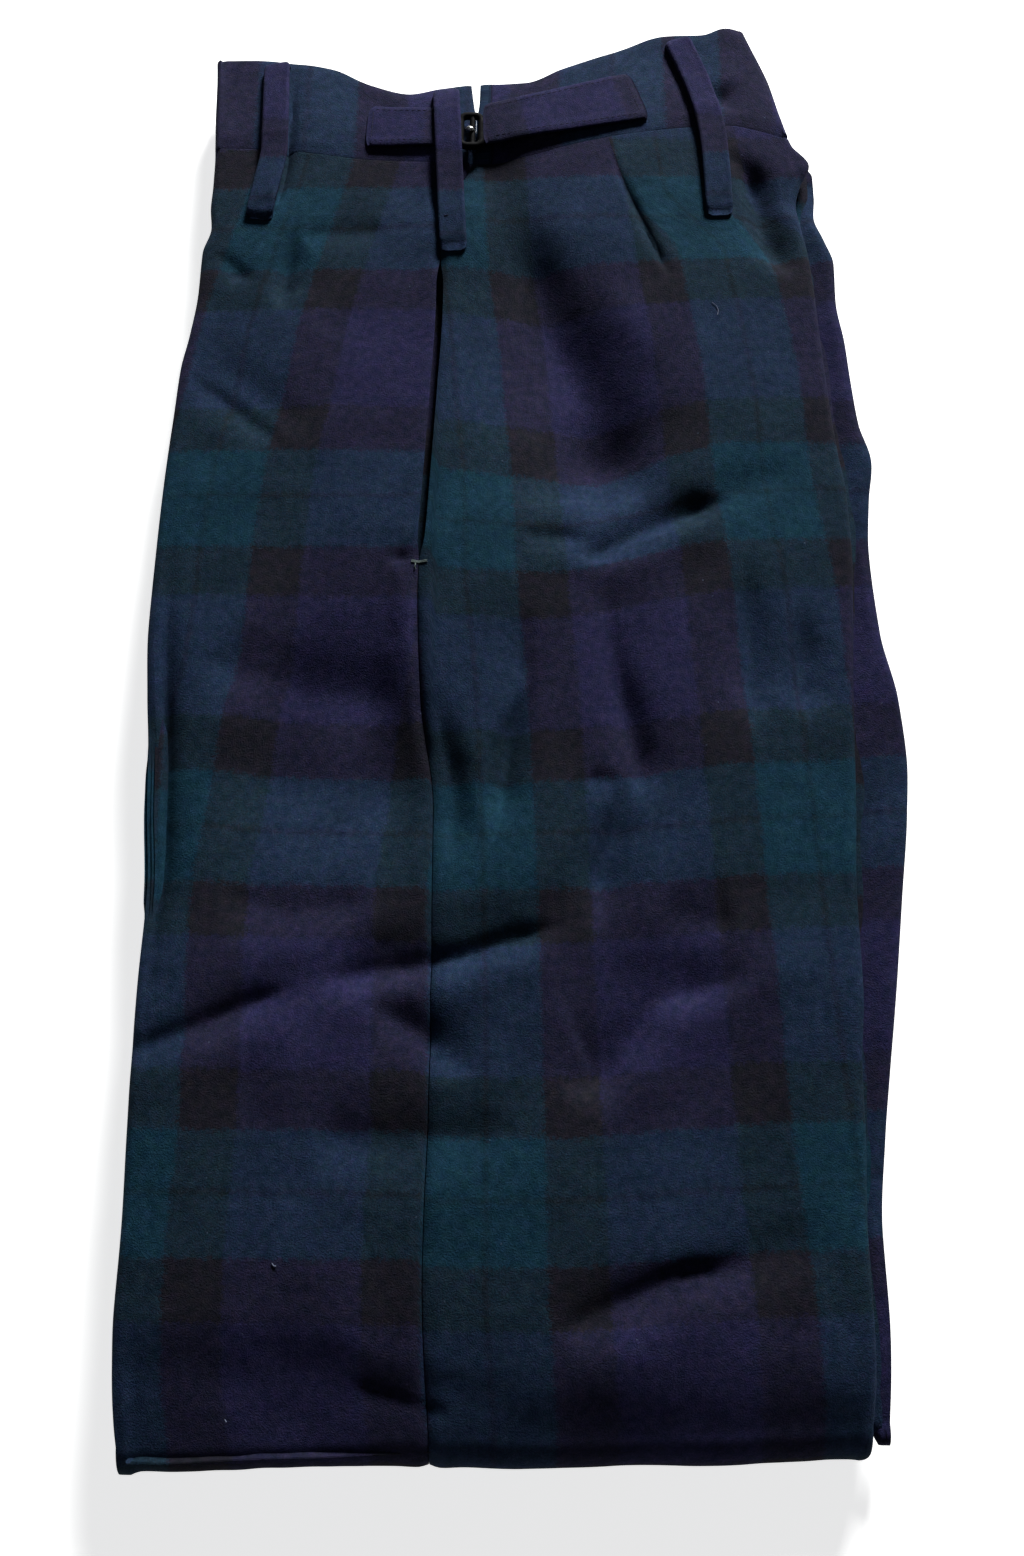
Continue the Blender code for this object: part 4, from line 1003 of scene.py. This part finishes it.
def layerRows():
    # rows up the side from the floor, one for each turn round a layer's edge. A row gives its height in the
    # middle and at the back, its front inset, which back edge it follows and the inset from that, its nose
    # at the fold (minus is a radius about the fold's axis), its end (minus counts from the waistband's seam),
    # and how deep the hem's mouth is
    rows, reach, waistIn = [], stack["reach"], hidden["waistIn"]
    for k, (frontIn, backIn, hem, nose, grooveNose) in enumerate(hidden["lobes"]):
        for a in lobeTurns:
            inset = reach * (1 - math.cos(math.radians(a)))
            z = stack["pitch"] * (k + 0.5) + halfHigh * math.sin(math.radians(a))
            z = 0.0 if k == 0 and a == -90 else z
            mouth = hidden["mouth"] if abs(a) < 30 else 0.0
            rows.append((z, z, frontIn + inset, k, backIn + inset, nose, hem - 0.8 * inset, mouth))
        groove = reach + hidden["groove"]
        z = stack["pitch"] * (k + 1)
        rows.append((z, z, max(frontIn, 2.6) + groove, k, backIn + groove, grooveNose, hem - hidden["hemIn"], 0.0))
    insetX = cloth["thick"] + hidden["clear"]
    insetZ = halfHigh - insetX
    for a in (-90, -65, -40, -15, 10, 35, 60):
        s, c = math.sin(math.radians(a)), math.cos(math.radians(a))
        back = reach - (reach - insetX) * c + 0.3
        front = hidden["front"] + reach * (1 - c)
        rows.append((underZ + halfHigh * s, underZ + insetZ * s, front, 1, back, hidden["nose"], waistIn, 0.0))
    low, front = underZ + insetZ, hidden["front"] + reach
    rows.append((underZ + halfHigh, low, front, 1, reach, stack["foldR"], waistIn, 0.0))
    rows.append((stack["height"] - stack["pitch"], low, front + 1, 2, 2.5, stack["foldR"] + 1.5, waistIn, 0.0))
    fillTop = topZ + halfHigh - cloth["thick"] - hidden["fill"]
    for a, below in ((-90, 0.3), (-30, 0.24), (30, 0.12)):
        inset = reach - (reach - insetX) * math.cos(math.radians(a))
        rows.append((fillTop - below, fillTop - below, inset, 0, inset, hidden["topNose"], waistIn, 0.0))
    rows.append((fillTop, fillTop, reach, 0, reach, stack["foldR"], waistIn, 0.0))
    return np.array(rows)


layers = layerRows()


def layerPoints(row, across, along):
    # places in the hidden layers for rows up the side and shares across and along, as whole arrays
    z, backZ, frontIn, which, backIn, nose, stop, mouth = np.moveaxis(layers[row], -1, 0)
    z = z + (backZ - z) * across**8
    rounded = stack["foldR"] - np.sqrt(np.maximum(0, nose**2 - (z - stack["foldR"]) ** 2))
    mouth = mouth * ease(across * 22) * ease((1 - across) * 22)
    x = np.zeros(z.shape)
    for _ in range(5):
        low = end("fold", x) + np.where(nose < 0, rounded, nose)
        high = np.where(stop > 0, stop - mouth, end("seam", x) + stop)
        y = low + (high - low) * along
        front = edge("front", y) + frontIn
        back = np.choose(which.astype(int), [edge("back", y), edge("under", y), underReach(y)]) - backIn
        x = front * (1 - across) + back * across
    isTop = row == len(layers) - 1
    inside = ease(across * 12) * ease((1 - across) * 12)
    under = topHeight(x, y) + np.minimum(detailHeight(x, y), 0) - cloth["thick"] - hidden["fill"]
    z = np.where(isTop, under - hidden["hollow"] * inside, z)
    return np.stack([x, y, sunk(z, y, x)], axis=-1)


def hiddenLayers():
    # six grids of the rows, one for each side of the solid, joined along their edges
    across = np.linspace(0, 1, 110)
    along = rowShares(240)
    rows = np.arange(len(layers))
    last = len(layers) - 1
    sides = []
    for level, k in ((0, 0), (1, last)):
        a, b = np.meshgrid(across, along, indexing="ij")
        sides.append((np.full(a.shape, k), a, b, level == 0, (0.0, 0.0)))
    for level in (0, 1):
        c, b = np.meshgrid(rows, along, indexing="ij")
        sides.append((c, np.full(b.shape, float(level)), b, level == 1, (1.0 if level else -1.0, 0.0)))
    for level in (0, 1):
        c, a = np.meshgrid(rows, across, indexing="ij")
        sides.append((c, a, np.full(a.shape, float(level)), level == 0, (0.0, 1.0 if level else -1.0)))
    points, faces, uvs = [], [], []
    start = 0
    for c, a, b, flip, turn in sides:
        grid = layerPoints(c, a, b)
        x, y, z = np.moveaxis(grid, -1, 0)
        points.append(grid.reshape(-1, 3))
        faces.append(gridFaces(*c.shape, flip) + start)
        u = (x + turn[0] * z + 104) / 1.03
        uvs.append(np.stack([u, alongThreads(x, y) + turn[1] * z + 6], axis=-1).reshape(-1, 2))
        start += c.size
    piece = newPiece("hiddenLayers", np.concatenate(points), np.concatenate(faces), np.concatenate(uvs), tartanWool)
    welded = bmesh.new()
    welded.from_mesh(piece.data)
    bmesh.ops.remove_doubles(welded, verts=welded.verts, dist=0.00001)
    bmesh.ops.recalc_face_normals(welded, faces=welded.faces)
    welded.to_mesh(piece.data)
    welded.free()
    return piece


dress(hiddenLayers(), "folded_layers")
print("hidden layers made")
floorMesh = bpy.data.meshes.new("floor")
floorMesh.from_pydata([(-3, -3, 0), (3, -3, 0), (3, 3, 0), (-3, 3, 0)], [], [(0, 1, 2, 3)])
floor = bpy.data.objects.new("floor", floorMesh)
collection.objects.link(floor)
# white paper that glows a little, so it stays white beside the dark cloth
floorMesh.materials.append(newMaterial("whitePaper", {
    "Roughness": 0.9, "Base Color": linear("#f4f4f2"), "Emission Color": (1, 1, 1, 1), "Emission Strength": 0.75,
})[0])


def areaLight(name, at, towards, size, power, colour):
    # a rectangular lamp turned so that it looks at a place
    lamp = bpy.data.lights.new(name, "AREA")
    lamp.shape = "RECTANGLE"
    lamp.size, lamp.size_y = size
    lamp.energy = power
    lamp.color = linear(colour)[:3]
    holder = bpy.data.objects.new(name, lamp)
    holder.location = at
    holder.rotation_euler = (Vector(towards) - Vector(at)).to_track_quat("-Z", "Y").to_euler()
    collection.objects.link(holder)


areaLight("waistLight", (0.56, 2.0, 0.9), (0, 0.05, 0.02), (0.5, 0.44), 110, "#ffffff")
areaLight("fillLight", (-0.3, -0.3, 1.3), (0, 0, 0), (1.2, 1.2), 0.5, "#dfe8ff")
world = bpy.context.scene.world or bpy.data.worlds.new("room")
bpy.context.scene.world = world
world.use_nodes = True
world.node_tree.nodes["Background"].inputs[0].default_value = linear("#e8edf5")
world.node_tree.nodes["Background"].inputs[1].default_value = 0.035
bpy.context.scene.view_settings.view_transform = "Standard"

view = {"lens": 20.05, "tilt": 16.6, "y": -128.375, "z": 455.626}
photoCamera = bpy.data.cameras.new("photoCamera")
photoCamera.sensor_fit = "VERTICAL"
photoCamera.sensor_height = 24
photoCamera.lens = view["lens"]
cameraHolder = bpy.data.objects.new("photoCamera", photoCamera)
cameraHolder.location = (shift + (0, view["y"], view["z"])) * mm
cameraHolder.rotation_euler = (math.radians(view["tilt"]), 0, 0)
collection.objects.link(cameraHolder)
bpy.context.scene.camera = cameraHolder
print("stage set")
